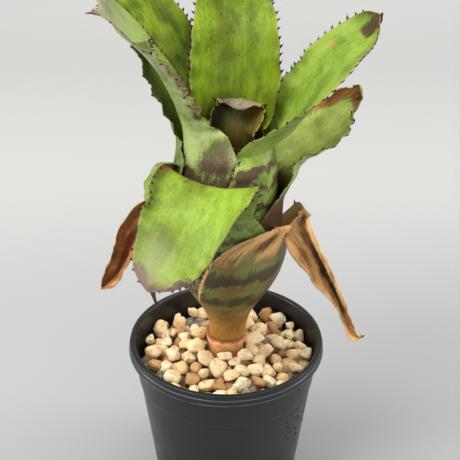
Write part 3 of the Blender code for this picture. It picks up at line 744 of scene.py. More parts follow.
def specks_effect():
    """Tiny dark specks, sparse and uneven, and soft olive-brown stains."""
    tree, n, given, out = effect("leaf_specks", [("Amount", "float", 0.5), ("Seed", "float", 0.0)],
                                 [("Specks", "float"), ("Stains", "float"), ("Grain", "float")])
    across, along = n.attribute("across"), n.attribute("along")
    place = n.combine(n.math("MULTIPLY", across, 480.0), n.math("MULTIPLY", along, 380.0), given["Seed"])
    cells = n.add("ShaderNodeTexVoronoi", {"feature": "F1"}, Vector=place, Scale=1.0)
    pick = n.add("ShaderNodeSeparateColor", Color=cells.outputs["Color"]).outputs["Red"]
    chosen = n.math("LESS_THAN", pick, n.math("MULTIPLY", given["Amount"], 0.55))
    dot = n.ramp(cells.outputs["Distance"], 0.14, 0.3, 1.0, 0.0)
    patch = n.noise(n.combine(n.math("MULTIPLY", across, 85.0), n.math("MULTIPLY", along, 60.0), given["Seed"]), 1.0, 3.0)
    grain = n.noise(n.combine(n.math("MULTIPLY", across, 1100.0), n.math("MULTIPLY", along, 420.0), given["Seed"]),
                    1.0, 4.0, 0.75)
    n.tree.links.new(n.math("MULTIPLY", n.math("MULTIPLY", dot, chosen), n.ramp(patch, 0.35, 0.6)), out.inputs["Specks"])
    n.tree.links.new(n.ramp(patch, 0.56, 0.72), out.inputs["Stains"])
    n.tree.links.new(grain, out.inputs["Grain"])
    return tree


def margin_effect():
    """A thin line along both margins, broken here and there."""
    tree, n, given, out = effect("margin_line", [("Width", "float", 0.0005), ("Seed", "float", 0.0)],
                                 [("Mask", "float")])
    edge, along, across = n.attribute("edge"), n.attribute("along"), n.attribute("across")
    wobble = n.noise(n.combine(n.math("MULTIPLY", n.math("SIGN", across), 5.0), n.math("MULTIPLY", along, 300.0),
                               given["Seed"]), 1.0, 3.0)
    width = n.math("MULTIPLY", given["Width"], n.math("MULTIPLY_ADD", wobble, 1.6, 0.2))
    far = n.math("DIVIDE", edge, width)
    n.tree.links.new(n.ramp(far, 0.7, 1.3, 1.0, 0.0), out.inputs["Mask"])
    return tree


def dry_tissue_effect():
    """Withered tissue: tan to brown in streaks along the leaf, with fine wrinkles."""
    tree, n, given, out = effect(
        "dry_tissue", [("Light", "color", srgb(206, 162, 100)), ("Middle", "color", srgb(160, 106, 56)),
                       ("Dark", "color", srgb(84, 50, 28)), ("Depth", "float", 0.5), ("Seed", "float", 0.0)],
        [("Color", "color"), ("Pale", "color"), ("Height", "float")])
    across, along = n.attribute("across"), n.attribute("along")
    streak = n.noise(n.combine(n.math("MULTIPLY", across, 420.0), n.math("MULTIPLY", along, 45.0), given["Seed"]),
                     1.0, 4.0, 0.62)
    patch = n.noise(n.combine(n.math("MULTIPLY", across, 90.0), n.math("MULTIPLY", along, 60.0), given["Seed"]),
                    1.0, 3.0, 0.55)
    speck = n.noise(n.combine(n.math("MULTIPLY", across, 900.0), n.math("MULTIPLY", along, 600.0), given["Seed"]),
                    1.0, 4.0, 0.7)
    depth = n.math("ADD", n.math("MULTIPLY", patch, 0.6), n.math("MULTIPLY", streak, 0.4))
    shifted = n.math("ADD", depth, n.math("MULTIPLY", n.math("SUBTRACT", given["Depth"], 0.5), 0.4))
    color = n.mix(n.ramp(shifted, 0.36, 0.54), given["Light"], given["Middle"])
    color = n.mix(n.ramp(shifted, 0.52, 0.7), color, given["Dark"])
    color = n.mix(n.math("MULTIPLY", n.ramp(speck, 0.52, 0.7), 0.45), color, given["Dark"])
    n.tree.links.new(color, out.inputs["Color"])
    n.tree.links.new(n.mix(n.ramp(shifted, 0.34, 0.62), srgb(184, 136, 58), srgb(150, 94, 34)), out.inputs["Pale"])
    height = n.math("ADD", n.math("MULTIPLY", streak, 0.8), n.math("MULTIPLY", speck, 0.3))
    n.tree.links.new(height, out.inputs["Height"])
    return tree


EFFECTS = {
    "veins": leaf_veins_effect(), "blotches": blotches_effect(), "bands": bands_effect(), "scurf": scurf_effect(),
    "margin": margin_effect(), "dry": dry_tissue_effect(), "specks": specks_effect(),
}


def new_material(name):
    material = bpy.data.materials.new(name)
    material.use_nodes = True
    tree = material.node_tree
    shader = tree.nodes["Principled BSDF"]
    return material, Nodes(tree), shader


def leaf_material(name, seed, upper_light, upper_dark, lower_green, lower_grey, purple, band_amount=0.5,
                  band_length=0.014, band_reach=(-0.02, 0.012), scurf=0.6, upper_bands=0.15, dry=0.0,
                  dry_depth=0.4, dry_reach=(-0.018, 0.01), purple_tip=0.0, tip_reach=16.0, foot_reach=16.0,
                  deep_brown=srgb(52, 28, 12), brown_under=1.0, tip_colour=None, dry_light=srgb(206, 162, 100), gloss=0.3, roughness=0.42):
    """Skin of one leaf: fresh upper face, scurfy lower face, bands, dry tissue, margin line and spines."""
    material, n, shader = new_material(name)
    upper, blade, along = n.attribute("upper"), n.attribute("blade"), n.attribute("along")
    veins = n.group(EFFECTS["veins"], Spacing=0.0009, Seed=seed)
    large = n.group(EFFECTS["blotches"], Size=0.011, Stretch=1.5, Low=0.38, High=0.66, Seed=seed)
    small = n.group(EFFECTS["blotches"], Size=0.0035, Stretch=2.2, Low=0.4, High=0.7, Seed=seed + 3.0)
    bands = n.group(EFFECTS["bands"], Length=band_length, Amount=band_amount, Placed=n.attribute("band"), Seed=seed)
    scurf_group = n.group(EFFECTS["scurf"], Amount=scurf, Seed=seed)
    margin = n.group(EFFECTS["margin"], Width=0.0004, Seed=seed)
    dry_group = n.group(EFFECTS["dry"], Light=dry_light, Depth=dry_depth, Seed=seed)
    upper_bright = tuple(between(channel, 1.0, 0.1) for channel in upper_light[:3]) + (1.0,)

    top = n.mix(large.outputs["Mask"], upper_light, upper_dark)
    top = n.mix(n.math("MULTIPLY", small.outputs["Mask"], 0.35), top, upper_dark)
    top = n.mix(n.math("MULTIPLY", veins.outputs["Veins"], 0.3), top, upper_light)
    top = n.mix(n.ramp(veins.outputs["Streaks"], 0.5, 0.72, 0.0, 0.55), top, upper_dark)
    top = n.mix(n.ramp(veins.outputs["Streaks"], 0.26, 0.46, 0.4, 0.0), top, upper_bright)
    specks = n.group(EFFECTS["specks"], Amount=0.6, Seed=seed)
    top = n.mix(n.math("MULTIPLY", specks.outputs["Stains"], 0.38), top, srgb(112, 96, 34))
    under = n.mix(large.outputs["Mask"], lower_green, upper_dark)
    under = n.mix(n.ramp(veins.outputs["Streaks"], 0.5, 0.72, 0.0, 0.45), under, upper_dark)
    under = n.mix(scurf_group.outputs["Mask"], under, lower_grey)
    skin = n.mix(upper, under, top)

    in_sheath = n.ramp(along, band_reach[0], band_reach[1], 1.0, 0.0)
    lower_share = n.math("SUBTRACT", 1.0, upper)
    share = n.math("ADD", n.math("MULTIPLY", lower_share, in_sheath), n.math("MULTIPLY", upper, upper_bands))
    placed = n.ramp(n.attribute("band"), 0.12, 0.45)
    band_share = n.math("MULTIPLY", bands.outputs["Mask"], n.math("MAXIMUM", share, placed), clamp=True)
    dusty = n.mix(n.math("MULTIPLY", scurf_group.outputs["Mask"], 0.14), purple, srgb(140, 124, 112))
    skin = n.mix(n.math("MULTIPLY", band_share, 0.92), skin, dusty)
    foot = n.math("ADD", n.attribute("foot"), n.math("MULTIPLY", veins.outputs["Height"], 5.0))
    skin = n.mix(n.ramp(foot, foot_reach * 0.45, foot_reach * 1.25, 0.92, 0.0), skin, dry_group.outputs["Pale"])
    tip_mask = n.ramp(n.math("ADD", n.attribute("tip"), n.math("MULTIPLY", small.outputs["Mask"], 6.0)),
                      tip_reach * 0.4, tip_reach, 1.0, 0.0)
    skin = n.mix(n.math("MULTIPLY", tip_mask, purple_tip), skin, tip_colour or purple)
    skin = n.mix(n.ramp(specks.outputs["Grain"], 0.46, 0.68, 0.0, 0.34), skin, srgb(58, 66, 24))
    skin = n.mix(n.math("MULTIPLY", specks.outputs["Specks"], 0.8), skin, srgb(52, 46, 22))
    # Painted shade: the dark marks turn pockets and flanks that lie in shadow a deep green.
    skin = n.mix(n.math("MULTIPLY", n.attribute("dark"), 0.85), skin, srgb(44, 56, 6))
    skin = n.mix(n.math("MULTIPLY", n.attribute("pale"), 0.75), skin, srgb(164, 168, 132))
    ragged = n.math("ADD", n.math("SUBTRACT", large.outputs["Mask"], 0.5),
                    n.math("MULTIPLY", n.math("SUBTRACT", veins.outputs["Streaks"], 0.5), 2.0))
    dry_place = n.math("ADD", along, n.math("MULTIPLY", ragged, 0.004))
    dry_mask = n.math("MAXIMUM", n.ramp(n.math("ADD", n.attribute("dry"),
                                               n.math("MULTIPLY", n.math("SUBTRACT", small.outputs["Mask"], 0.5), 0.3)),
                                        0.35, 0.65), n.math("MULTIPLY", n.ramp(dry_place, *dry_reach), dry))
    skin = n.mix(dry_mask, skin, dry_group.outputs["Color"])
    brown = n.ramp(n.math("ADD", n.attribute("brown"), n.math("MULTIPLY", n.math("SUBTRACT", small.outputs["Mask"], 0.5), 0.2)),
                   0.15, 0.75)
    brown = n.math("MULTIPLY", brown, n.ramp(upper, 0.4, 0.6, brown_under, 1.0))
    skin = n.mix(n.math("MULTIPLY", brown, 0.93), skin, deep_brown)
    line = n.mix(large.outputs["Mask"], srgb(176, 150, 96), srgb(92, 54, 34))
    skin = n.mix(n.math("MULTIPLY", margin.outputs["Mask"], 0.6), skin, line)
    skin = n.mix(n.ramp(n.attribute("spine"), 0.2, 0.8), skin, srgb(34, 18, 12))
    n.tree.links.new(skin, shader.inputs["Base Color"])

    rough = n.math("ADD", n.math("MULTIPLY", scurf_group.outputs["Mask"], 0.25),
                   n.math("MULTIPLY_ADD", small.outputs["Mask"], 0.12, roughness))
    rough = n.math("ADD", rough, n.math("MULTIPLY", dry_mask, 0.25), clamp=True)
    n.tree.links.new(rough, shader.inputs["Roughness"])
    height = n.math("ADD", n.math("MULTIPLY", veins.outputs["Height"], 0.5),
                    n.math("MULTIPLY", scurf_group.outputs["Height"], 0.5))
    height = n.math("ADD", height, n.math("MULTIPLY", dry_group.outputs["Height"], n.math("MULTIPLY", dry_mask, 3.5)))
    height = n.math("ADD", height, n.math("MULTIPLY", specks.outputs["Grain"], 0.5))
    bump = n.add("ShaderNodeBump", Height=height, Strength=0.7, Distance=0.0002)
    n.tree.links.new(bump.outputs["Normal"], shader.inputs["Normal"])
    shader.inputs["Subsurface Weight"].default_value = 0.0
    shader.inputs["Specular IOR Level"].default_value = gloss
    return material


LEAF_LOOKS = {
    # leaf_young's near-black deep brown paints the shade inside its rolled tube.
    "leaf_young": dict(deep_brown=srgb(30, 26, 6), upper_light=srgb(128, 106, 44), upper_dark=srgb(84, 72, 22), lower_green=srgb(126, 112, 62),
                       lower_grey=srgb(196, 178, 184), purple=srgb(160, 138, 148), band_amount=0.2, purple_tip=0.35,
                       tip_reach=8.0, upper_bands=0.0),
    "leaf_back": dict(gloss=0.22, upper_light=srgb(126, 152, 22), upper_dark=srgb(84, 108, 0), lower_green=srgb(120, 146, 66),
                      lower_grey=srgb(176, 186, 150), purple=srgb(84, 58, 52), band_amount=0.4, upper_bands=0.0),
    "leaf_left": dict(deep_brown=srgb(92, 64, 50), upper_light=srgb(134, 162, 40), upper_dark=srgb(92, 124, 12), lower_green=srgb(150, 168, 88),
                      lower_grey=srgb(196, 196, 154), purple=srgb(72, 38, 34), band_amount=0.5, purple_tip=0.6,
                      tip_reach=30.0, tip_colour=srgb(124, 98, 94), band_reach=(-0.006, 0.016)),
    "leaf_right": dict(upper_light=srgb(138, 164, 56), upper_dark=srgb(104, 132, 26), lower_green=srgb(150, 170, 70),
                       lower_grey=srgb(184, 190, 150), purple=srgb(70, 36, 32), scurf=0.3, band_length=0.010, band_amount=0.5, purple_tip=0.7,
                       tip_reach=11.0, tip_colour=srgb(118, 72, 70), upper_bands=0.0),
    "leaf_back_left": dict(gloss=0.12, upper_light=srgb(132, 156, 34), upper_dark=srgb(62, 88, 0), lower_green=srgb(104, 138, 48),
                           lower_grey=srgb(160, 172, 130), purple=srgb(90, 58, 52), band_amount=0.4),
    # leaf_right_low's upper face is painted much lighter than the other leaves: painted light, as the lamps leave it in
    # the shadow of leaf_right.
    "leaf_right_low": dict(dry_depth=0.52, deep_brown=srgb(70, 40, 26), dry_light=srgb(212, 144, 84), upper_light=srgb(202, 216, 116), upper_dark=srgb(162, 186, 76), lower_green=srgb(124, 150, 64),
                           lower_grey=srgb(172, 180, 140), purple=srgb(60, 34, 30), band_amount=0.58, purple_tip=0.3),
    "leaf_front": dict(upper_light=srgb(140, 166, 50), upper_dark=srgb(108, 134, 14), lower_green=srgb(112, 136, 40),
                       lower_grey=srgb(176, 184, 148), purple=srgb(64, 36, 32), band_length=0.0085, band_amount=0.56, tip_colour=srgb(124, 88, 84), purple_tip=0.6,
                       upper_bands=0.0),
    "leaf_left_dead": dict(upper_light=srgb(150, 100, 52), upper_dark=srgb(110, 60, 34), lower_green=srgb(124, 144, 74),
                           lower_grey=srgb(168, 168, 130), purple=srgb(90, 64, 60), band_amount=0.5, dry=1.0,
                           dry_depth=0.64, deep_brown=srgb(104, 42, 18)),
    "leaf_right_dead": dict(upper_light=srgb(178, 136, 76), upper_dark=srgb(124, 86, 44), lower_green=srgb(112, 130, 54),
                            lower_grey=srgb(154, 156, 112), purple=srgb(60, 38, 32), band_amount=0.52, dry=1.0,
                            dry_depth=0.27, dry_light=srgb(222, 176, 116), band_length=0.019, brown_under=0.9, dry_reach=(-0.0065, -0.0035), scurf=0.4, foot_reach=26.0),
}


# Pot

def rounded(profile, steps=4):
    """A profile of (radius, height, rounding) with each corner turned into a small curve."""
    points = []
    for k, (r, z, ease) in enumerate(profile):
        here = Vector((r, z))
        if ease == 0 or k in (0, len(profile) - 1):
            points.append(here)
            continue
        before = Vector(profile[k - 1][:2]) - here
        after = Vector(profile[k + 1][:2]) - here
        ease_in = min(ease, before.length * 0.45)
        ease_out = min(ease, after.length * 0.45)
        a, b = here + before.normalized() * ease_in, here + after.normalized() * ease_out
        guard = 0.25
        points.append(a + before.normalized() * ease_in * guard)
        for step in range(steps + 1):
            t = step / steps
            points.append(a * (1 - t) ** 2 + here * 2 * t * (1 - t) + b * t * t)
        points.append(b + after.normalized() * ease_out * guard)
    return [(p.x, p.y) for p in points]


def lathe(name, profile, sides):
    """A closed body turned about Z. Profile points on the axis become single vertices."""
    points, rings = [], []
    for r, z in profile:
        if r < 1e-6:
            rings.append([len(points)])
            points.append((0, 0, z))
        else:
            rings.append(list(range(len(points), len(points) + sides)))
            points += [(r * math.cos(2 * math.pi * k / sides), r * math.sin(2 * math.pi * k / sides), z)
                       for k in range(sides)]
    faces = []
    for low, high in zip(rings, rings[1:]):
        for k in range(sides):
            n = (k + 1) % sides
            corners = [low[k % len(low)], low[n % len(low)], high[n % len(high)], high[k % len(high)]]
            face = list(dict.fromkeys(corners))
            if len(face) > 2:
                faces.append(face)
    mesh = bpy.data.meshes.new(name)
    mesh.from_pydata(points, [], faces)
    tidy = bmesh.new()
    tidy.from_mesh(mesh)
    bmesh.ops.recalc_face_normals(tidy, faces=tidy.faces)
    tidy.to_mesh(mesh)
    tidy.free()
    mesh.shade_smooth()
    obj = bpy.data.objects.new(name, mesh)
    bpy.context.scene.collection.objects.link(obj)
    return obj


def apply_modifiers(obj):
    bpy.context.view_layer.update()
    graph = bpy.context.evaluated_depsgraph_get()
    mesh = bpy.data.meshes.new_from_object(obj.evaluated_get(graph))
    obj.modifiers.clear()
    obj.data = mesh


def make_pot():
    top, step = POT_HEIGHT, POT_HEIGHT - SHOULDER_DROP
    e = EDGE
    profile = [(0, FLOOR, 0), (FOOT_RADIUS - WALL, FLOOR, e), (BODY_RADIUS - WALL, step, e),
               (MOUTH_RADIUS - MOUTH_TAPER, top - MOUTH_BAND, e), (MOUTH_RADIUS, top - e, e),
               (MOUTH_RADIUS + e, top, e), (RIM_RADIUS - 1.8 * e, top, e), (RIM_RADIUS - 1.2 * e, top - e, e),
               (RIM_RADIUS - 1.2 * e, top - 0.4 * RIM_BAND, e / 2), (RIM_RADIUS - 0.2 * e, top - 0.5 * RIM_BAND, e / 2),
               (RIM_RADIUS - 0.5 * e, top - 0.82 * RIM_BAND, e / 2), (RIM_RADIUS, top - 0.9 * RIM_BAND, e / 2),
               (RIM_RADIUS, top - RIM_BAND, e), (RIM_RADIUS - e, top - RIM_BAND - e, e),
               (SHOULDER_RADIUS, top - RIM_BAND - 1.5 * e, e), (BODY_RADIUS + e, step + e / 2, e),
               (BODY_RADIUS, step - e / 2, e), (FOOT_RADIUS, e, e), (FOOT_RADIUS - e, 0, e), (0, 0, 0)]
    pot = lathe("nursery_pot", rounded(profile), 160)
    mesh = bmesh.new()
    for hole in range(DRAIN_HOLES):
        turn = 2 * math.pi * hole / DRAIN_HOLES
        place = Matrix.Translation((DRAIN_RING * math.cos(turn), DRAIN_RING * math.sin(turn), FLOOR / 2))
        bmesh.ops.create_cone(mesh, cap_ends=True, segments=24, radius1=DRAIN_RADIUS, radius2=DRAIN_RADIUS,
                              depth=3 * FLOOR, matrix=place)
    data = bpy.data.meshes.new("drain_cutter")
    mesh.to_mesh(data)
    mesh.free()
    cutter = bpy.data.objects.new("drain_cutter", data)
    bpy.context.scene.collection.objects.link(cutter)
    cut = pot.modifiers.new("drain", "BOOLEAN")
    cut.operation = "DIFFERENCE"
    cut.solver = "EXACT"
    cut.object = cutter
    apply_modifiers(pot)
    bpy.data.objects.remove(cutter, do_unlink=True)
    return pot


def make_drops(rng):
    """Small drops that cling to the pot's right side, flat domes sunk a little into the wall."""
    directions, triangles = sphere_directions(2)
    points, faces = [], []
    shoulder = POT_HEIGHT - SHOULDER_DROP
    for _ in range(DROPS):
        turn = math.radians(rng.gauss(-32, 9))
        height = rng.uniform(shoulder - 34 * MM, POT_HEIGHT - RIM_BAND - 2 * MM)
        size = rng.choice([0.35, 0.5, 0.5, 0.8]) * rng.uniform(0.8, 1.2) * MM
        if height < shoulder:
            wall = between(FOOT_RADIUS, BODY_RADIUS, height / shoulder)
        else:
            wall = between(BODY_RADIUS, SHOULDER_RADIUS, (height - shoulder) / (SHOULDER_DROP - RIM_BAND)) + 0.2 * MM
        drop = directions * [0.45, 1.0, rng.uniform(1.0, 1.5)] * size + [wall, 0, height]
        drop = drop @ np.array(Matrix.Rotation(turn, 3, "Z")).T
        start = len(points)
        points += drop.tolist()
        faces += [[start + i for i in f] for f in triangles]
    mesh = bpy.data.meshes.new("pot_drops")
    mesh.from_pydata(points, [], faces)
    mesh.shade_smooth()
    obj = bpy.data.objects.new("pot_drops", mesh)
    bpy.context.scene.collection.objects.link(obj)
    return obj


def drop_material():
    """Water on dark plastic: nearly black and glossy."""
    material, n, shader = new_material("clinging_water")
    shader.inputs["Base Color"].default_value = srgb(8, 9, 10)
    shader.inputs["Roughness"].default_value = 0.08
    return material


def plastic_material():
    """Charcoal plastic, satin and faintly cloudy, with dust, pale scuffs on the rim and painted highlight lines along
    its two ledges.
    """
    material, n, shader = new_material("charcoal_plastic")
    place = n.add("ShaderNodeTexCoord").outputs["Object"]
    split = n.add("ShaderNodeSeparateXYZ", Vector=place)
    cloud = n.noise(place, 60.0, 4.0, 0.6)
    dust = n.noise(place, 900.0, 3.0, 0.7)
    scuff = n.noise(place, 220.0, 5.0, 0.75, 0.6)
    height_z = split.outputs["Z"]
    near_rim = n.ramp(height_z, POT_HEIGHT - 3 * MM, POT_HEIGHT - 0.2 * MM)
    scuffs = n.math("MULTIPLY", n.ramp(scuff, 0.6, 0.72), near_rim)
    color = n.mix(cloud, srgb(10, 13, 17), srgb(17, 20, 24))
    color = n.mix(n.math("MULTIPLY", n.ramp(dust, 0.62, 0.75), 0.16), color, srgb(96, 92, 84))
    color = n.mix(n.math("MULTIPLY", scuffs, 0.25), color, srgb(120, 120, 118))
    flat = n.combine(split.outputs["X"], split.outputs["Y"], 0.0)
    radius = n.add("ShaderNodeVectorMath", {"operation": "LENGTH"}, i0=flat).outputs["Value"]
    outside = n.ramp(radius, RIM_RADIUS - 2 * MM, RIM_RADIUS - 1.5 * MM)
    # Painted highlights: pale lines along the rim's two ledges, broken up by noise, stand in for the light that the
    # ledges catch.
    rim_highlight_breakup = n.ramp(n.noise(place, 90.0, 3.0, 0.6), 0.3, 0.6, 0.25, 1.0)
    for drop, strength in ((0.47, 0.2), (0.93, 0.4)):
        far = n.math("ABSOLUTE", n.math("SUBTRACT", height_z, POT_HEIGHT - drop * RIM_BAND))
        line = n.math("MULTIPLY", n.ramp(far, 0.1 * MM, 0.42 * MM, strength, 0.0), n.math("MULTIPLY", rim_highlight_breakup, outside))
        color = n.mix(line, color, srgb(140, 144, 150))
    n.tree.links.new(color, shader.inputs["Base Color"])
    n.tree.links.new(n.ramp(cloud, 0.3, 0.7, 0.3, 0.42), shader.inputs["Roughness"])
    bump = n.add("ShaderNodeBump", Height=n.math("ADD", n.math("MULTIPLY", dust, 0.4), cloud), Strength=0.12,
                 Distance=0.0003)
    n.tree.links.new(bump.outputs["Normal"], shader.inputs["Normal"])
    return material


# Pumice

def surface_height(radius):
    share = min(1.0, radius / (MOUTH_RADIUS - 2 * MM))
    return SOIL_LEVEL - BED_DEPTH - (SOIL_DROP - BED_DEPTH) * share ** 2


def wall_radius(height):
    shoulder = POT_HEIGHT - SHOULDER_DROP
    if height < shoulder:
        return between(FOOT_RADIUS, BODY_RADIUS, (height - FLOOR) / (shoulder - FLOOR)) - WALL
    share = (height - shoulder) / (SHOULDER_DROP - MOUTH_BAND)
    return between(BODY_RADIUS - WALL, MOUTH_RADIUS - MOUTH_TAPER, min(share, 1.0))


def settle_stones(rng):
    """Drops stones one by one into the lowest of several random places, until the fill is level."""
    placed = []
    misses = 0
    while misses < 25 and len(placed) < 420:
        size = rng.choice([rng.uniform(2.4, 3.2), rng.uniform(3.0, 4.2), rng.uniform(3.6, 5.2)]) * MM
        best = None
        for _ in range(70):
            radius = (MOUTH_RADIUS - 1 * MM) * math.sqrt(rng.random())
            turn = rng.uniform(0, 2 * math.pi)
            if radius - 0.95 * size < STEM_RADIUS + 0.2 * MM or radius + 1.12 * size > MOUTH_RADIUS - MOUTH_TAPER:
                continue
            x, y = radius * math.cos(turn), radius * math.sin(turn)
            low = surface_height(radius) - 7.5 * MM + 0.6 * size
            if placed:
                others = np.array(placed)
                flat = np.hypot(others[:, 0] - x, others[:, 1] - y)
                touch = 0.9 * (others[:, 3] + size)
                near = flat < touch
                if near.any():
                    low = max(low, float((others[near, 2] + np.sqrt(touch[near] ** 2 - flat[near] ** 2)).max()))
            heap = 5.2 * MM * math.exp(-((radius - STEM_RADIUS) / (12 * MM)) ** 2)
            over = low + 0.8 * size - (surface_height(radius) + 5.2 * MM + heap)
            if best is None or over < best[0]:
                best = (over, x, y, low)
        if best is None or best[0] > 0:
            misses += 1
            continue
        placed.append((best[1], best[2], best[3], size))
    return placed


def sphere_directions(level):
    mesh = bmesh.new()
    bmesh.ops.create_icosphere(mesh, subdivisions=level, radius=1)
    points = np.array([v.co.normalized() for v in mesh.verts])
    faces = [[v.index for v in f.verts] for f in mesh.faces]
    mesh.free()
    return points, faces


def stone_points(rng, directions, size):
    """A rounded stone: a sphere cut by random soft planes, stretched and lightly dented."""
    cuts = np.array([[rng.gauss(0, 1) for _ in range(3)] for _ in range(13)])
    cuts /= np.linalg.norm(cuts, axis=1, keepdims=True)
    depth = np.array([rng.uniform(0.66, 1.0) for _ in range(13)])
    reach = np.maximum(directions @ cuts.T, 0) / depth
    radius = 1 / np.maximum((reach ** 16).sum(axis=1) ** (1 / 16), 0.8)
    stretch = np.array([rng.uniform(1.0, 1.25), rng.uniform(0.82, 1.0), rng.uniform(0.68, 0.9)])
    seed = rng.uniform(0, 90)
    lumps = waves(directions, 0.6, seed) * 0.13 + waves(directions, 0.25, seed + 5) * 0.04
    return directions * (radius * (1 + lumps))[:, None] * stretch * size


def make_stones(name, placed, level, seed):
    """One mesh of many closed stones; each carries its own tone and kind."""
    rng = random.Random(seed)
    directions, triangles = sphere_directions(level)
    points, faces, tone, kind, offset = [], [], [], [], []
    for x, y, z, size in placed:
        turn = (Matrix.Rotation(rng.uniform(0, 2 * math.pi), 3, "Z") @ Matrix.Rotation(rng.uniform(-0.5, 0.5), 3, "X"))
        stone = stone_points(rng, directions, size) @ np.array(turn).T + np.array([x, y, z])
        far = np.hypot(stone[:, 0], stone[:, 1])
        limit = np.array([wall_radius(min(height, POT_HEIGHT)) - CLEARANCE for height in stone[:, 2]])
        stone[:, :2] *= np.minimum(1, limit / np.maximum(far, 1 * MM))[:, None]
        start = len(points)
        points += stone.tolist()
        faces += [[start + i for i in f] for f in triangles]
        draw = rng.random()
        family = 0.0 if draw < 0.82 else (0.5 if draw < 0.93 else 1.0)
        shade = rng.random()
        tone += [shade] * len(stone)
        kind += [family] * len(stone)
        offset += [rng.uniform(0, 20)] * len(stone)
    mesh = bpy.data.meshes.new(name)
    mesh.from_pydata(points, [], faces)
    for key, value in (("tone", tone), ("kind", kind), ("offset", offset)):
        mesh.attributes.new(key, "FLOAT", "POINT").data.foreach_set("value", np.array(value, np.float32))
    mesh.shade_smooth()
    obj = bpy.data.objects.new(name, mesh)
    bpy.context.scene.collection.objects.link(obj)
    return obj


def pumice_material(name, shade):
    """Cream, orange-brown and speckled grey stones with pores and dusty faces, darkened by a share of painted shade."""
    material, n, shader = new_material(name)
    place = n.add("ShaderNodeTexCoord").outputs["Object"]
    tone, kind, offset = n.attribute("tone"), n.attribute("kind"), n.attribute("offset")
    moved = n.add("ShaderNodeVectorMath", {"operation": "ADD"}, i0=place, i1=n.combine(offset, offset, offset)).outputs[0]
    cloud = n.noise(moved, 160.0, 3.0, 0.6)
    grain = n.noise(moved, 900.0, 3.0, 0.65)
    pores = n.add("ShaderNodeTexVoronoi", {"feature": "F1"}, Vector=moved, Scale=520.0, Randomness=1.0).outputs["Distance"]
    pore = n.math("MULTIPLY", n.ramp(pores, 0.08, 0.3, 1.0, 0.0), n.ramp(cloud, 0.42, 0.62))
    cream = n.mix(tone, srgb(242, 208, 152), srgb(255, 240, 202))
    cream = n.mix(n.ramp(cloud, 0.45, 0.8), cream, srgb(222, 178, 122))
    rust = n.mix(tone, srgb(190, 140, 92), srgb(212, 168, 118))
    speckle = n.mix(n.ramp(grain, 0.42, 0.6), srgb(84, 80, 72), srgb(186, 172, 146))
    color = n.mix(n.ramp(kind, 0.2, 0.4), cream, rust)
    color = n.mix(n.ramp(kind, 0.7, 0.9), color, speckle)
    # The pores are real dents in the bump; their darker colour is painted shade inside them.
    color = n.mix(n.math("MULTIPLY", pore, 0.7), color, srgb(112, 84, 56))
    color = n.mix(n.math("MULTIPLY", n.ramp(grain, 0.54, 0.7), 0.45), color, srgb(150, 118, 80))
    # Painted shade: the whole stone is darkened towards deep brown by the given share.
    color = n.mix(shade, color, srgb(74, 52, 32))
    n.tree.links.new(color, shader.inputs["Base Color"])
    n.tree.links.new(n.ramp(grain, 0.3, 0.7, 0.72, 0.92), shader.inputs["Roughness"])
    height = n.math("SUBTRACT", n.math("ADD", n.math("MULTIPLY", grain, 0.6), cloud), n.math("MULTIPLY", pore, 1.2))
    bump = n.add("ShaderNodeBump", Height=height, Strength=0.8, Distance=0.0006)
    n.tree.links.new(bump.outputs["Normal"], shader.inputs["Normal"])
    shader.inputs["Specular IOR Level"].default_value = 0.25
    return material


def make_bed():
    """The body of the fill below the stones, with a hole for the root."""
    hole = STEM_RADIUS - ROOT_INSET + CLEARANCE
    foot = FLOOR + CLEARANCE
    drop = 8 * MM
    top = surface_height(MOUTH_RADIUS) - drop
    shoulder = POT_HEIGHT - SHOULDER_DROP
    profile = [(0, SOIL_LEVEL - ROOT_DEPTH), (hole, SOIL_LEVEL - ROOT_DEPTH), (hole, surface_height(hole) - drop)]
    for radius in (14 * MM, 20 * MM, 26 * MM, 32 * MM, 38 * MM, 42 * MM):
        profile.append((radius, surface_height(radius) - drop))
    profile += [(wall_radius(top) - CLEARANCE, top), (wall_radius(shoulder) - CLEARANCE, shoulder),
                (wall_radius(foot) - CLEARANCE, foot), (0, foot)]
    return lathe("fill_bed", profile, 96)


# Stem

def core_radius(leaf, height):
    return sheath_radius(leaf, height) - 0.5 * LAYER_PITCH - 0.5 * MM


def make_stem():
    plug = STEM_RADIUS - ROOT_INSET
    bottom = SOIL_LEVEL - ROOT_DEPTH + CLEARANCE
    profile = [(0, bottom, 0), (plug - 1 * MM, bottom, 0.5 * MM), (plug, bottom + 1 * MM, 0.5 * MM)]
    profile += [(STEM_RADIUS + out * MM, SOIL_LEVEL + up * MM, 1.2 * MM) for out, up in STUB]
    for leaf in sorted(LEAVES.values(), key=lambda leaf: leaf["root"]):
        step = leaf["root"] * MM - CLEARANCE
        outside = sheath_radius(leaf, step) + 0.33 * MM
        profile += [(outside, SOIL_LEVEL + step, 0.2 * MM), (core_radius(leaf, step), SOIL_LEVEL + step, 0.2 * MM)]
    radius, height = profile[-1][:2]
    profile += [(radius - 1.5 * MM, height + CORE_TOP, 0.6 * MM), (0, height + CORE_TOP, 0)]
    stem = lathe("stem_skin", rounded(profile, 3), 72)
    for vertex in stem.data.vertices:
        low = smoothstep(SOIL_LEVEL - 3 * MM, SOIL_LEVEL, vertex.co.z) * (1 - smoothstep(SOIL_LEVEL + 5 * MM, SOIL_LEVEL + 8 * MM, vertex.co.z))
        flat = Vector((vertex.co.x, vertex.co.y, 0))
        if low > 0 and flat.length > 1 * MM:
            vertex.co += flat.normalized() * 0.35 * MM * low * noise.noise(vertex.co / (7 * MM))
    return stem


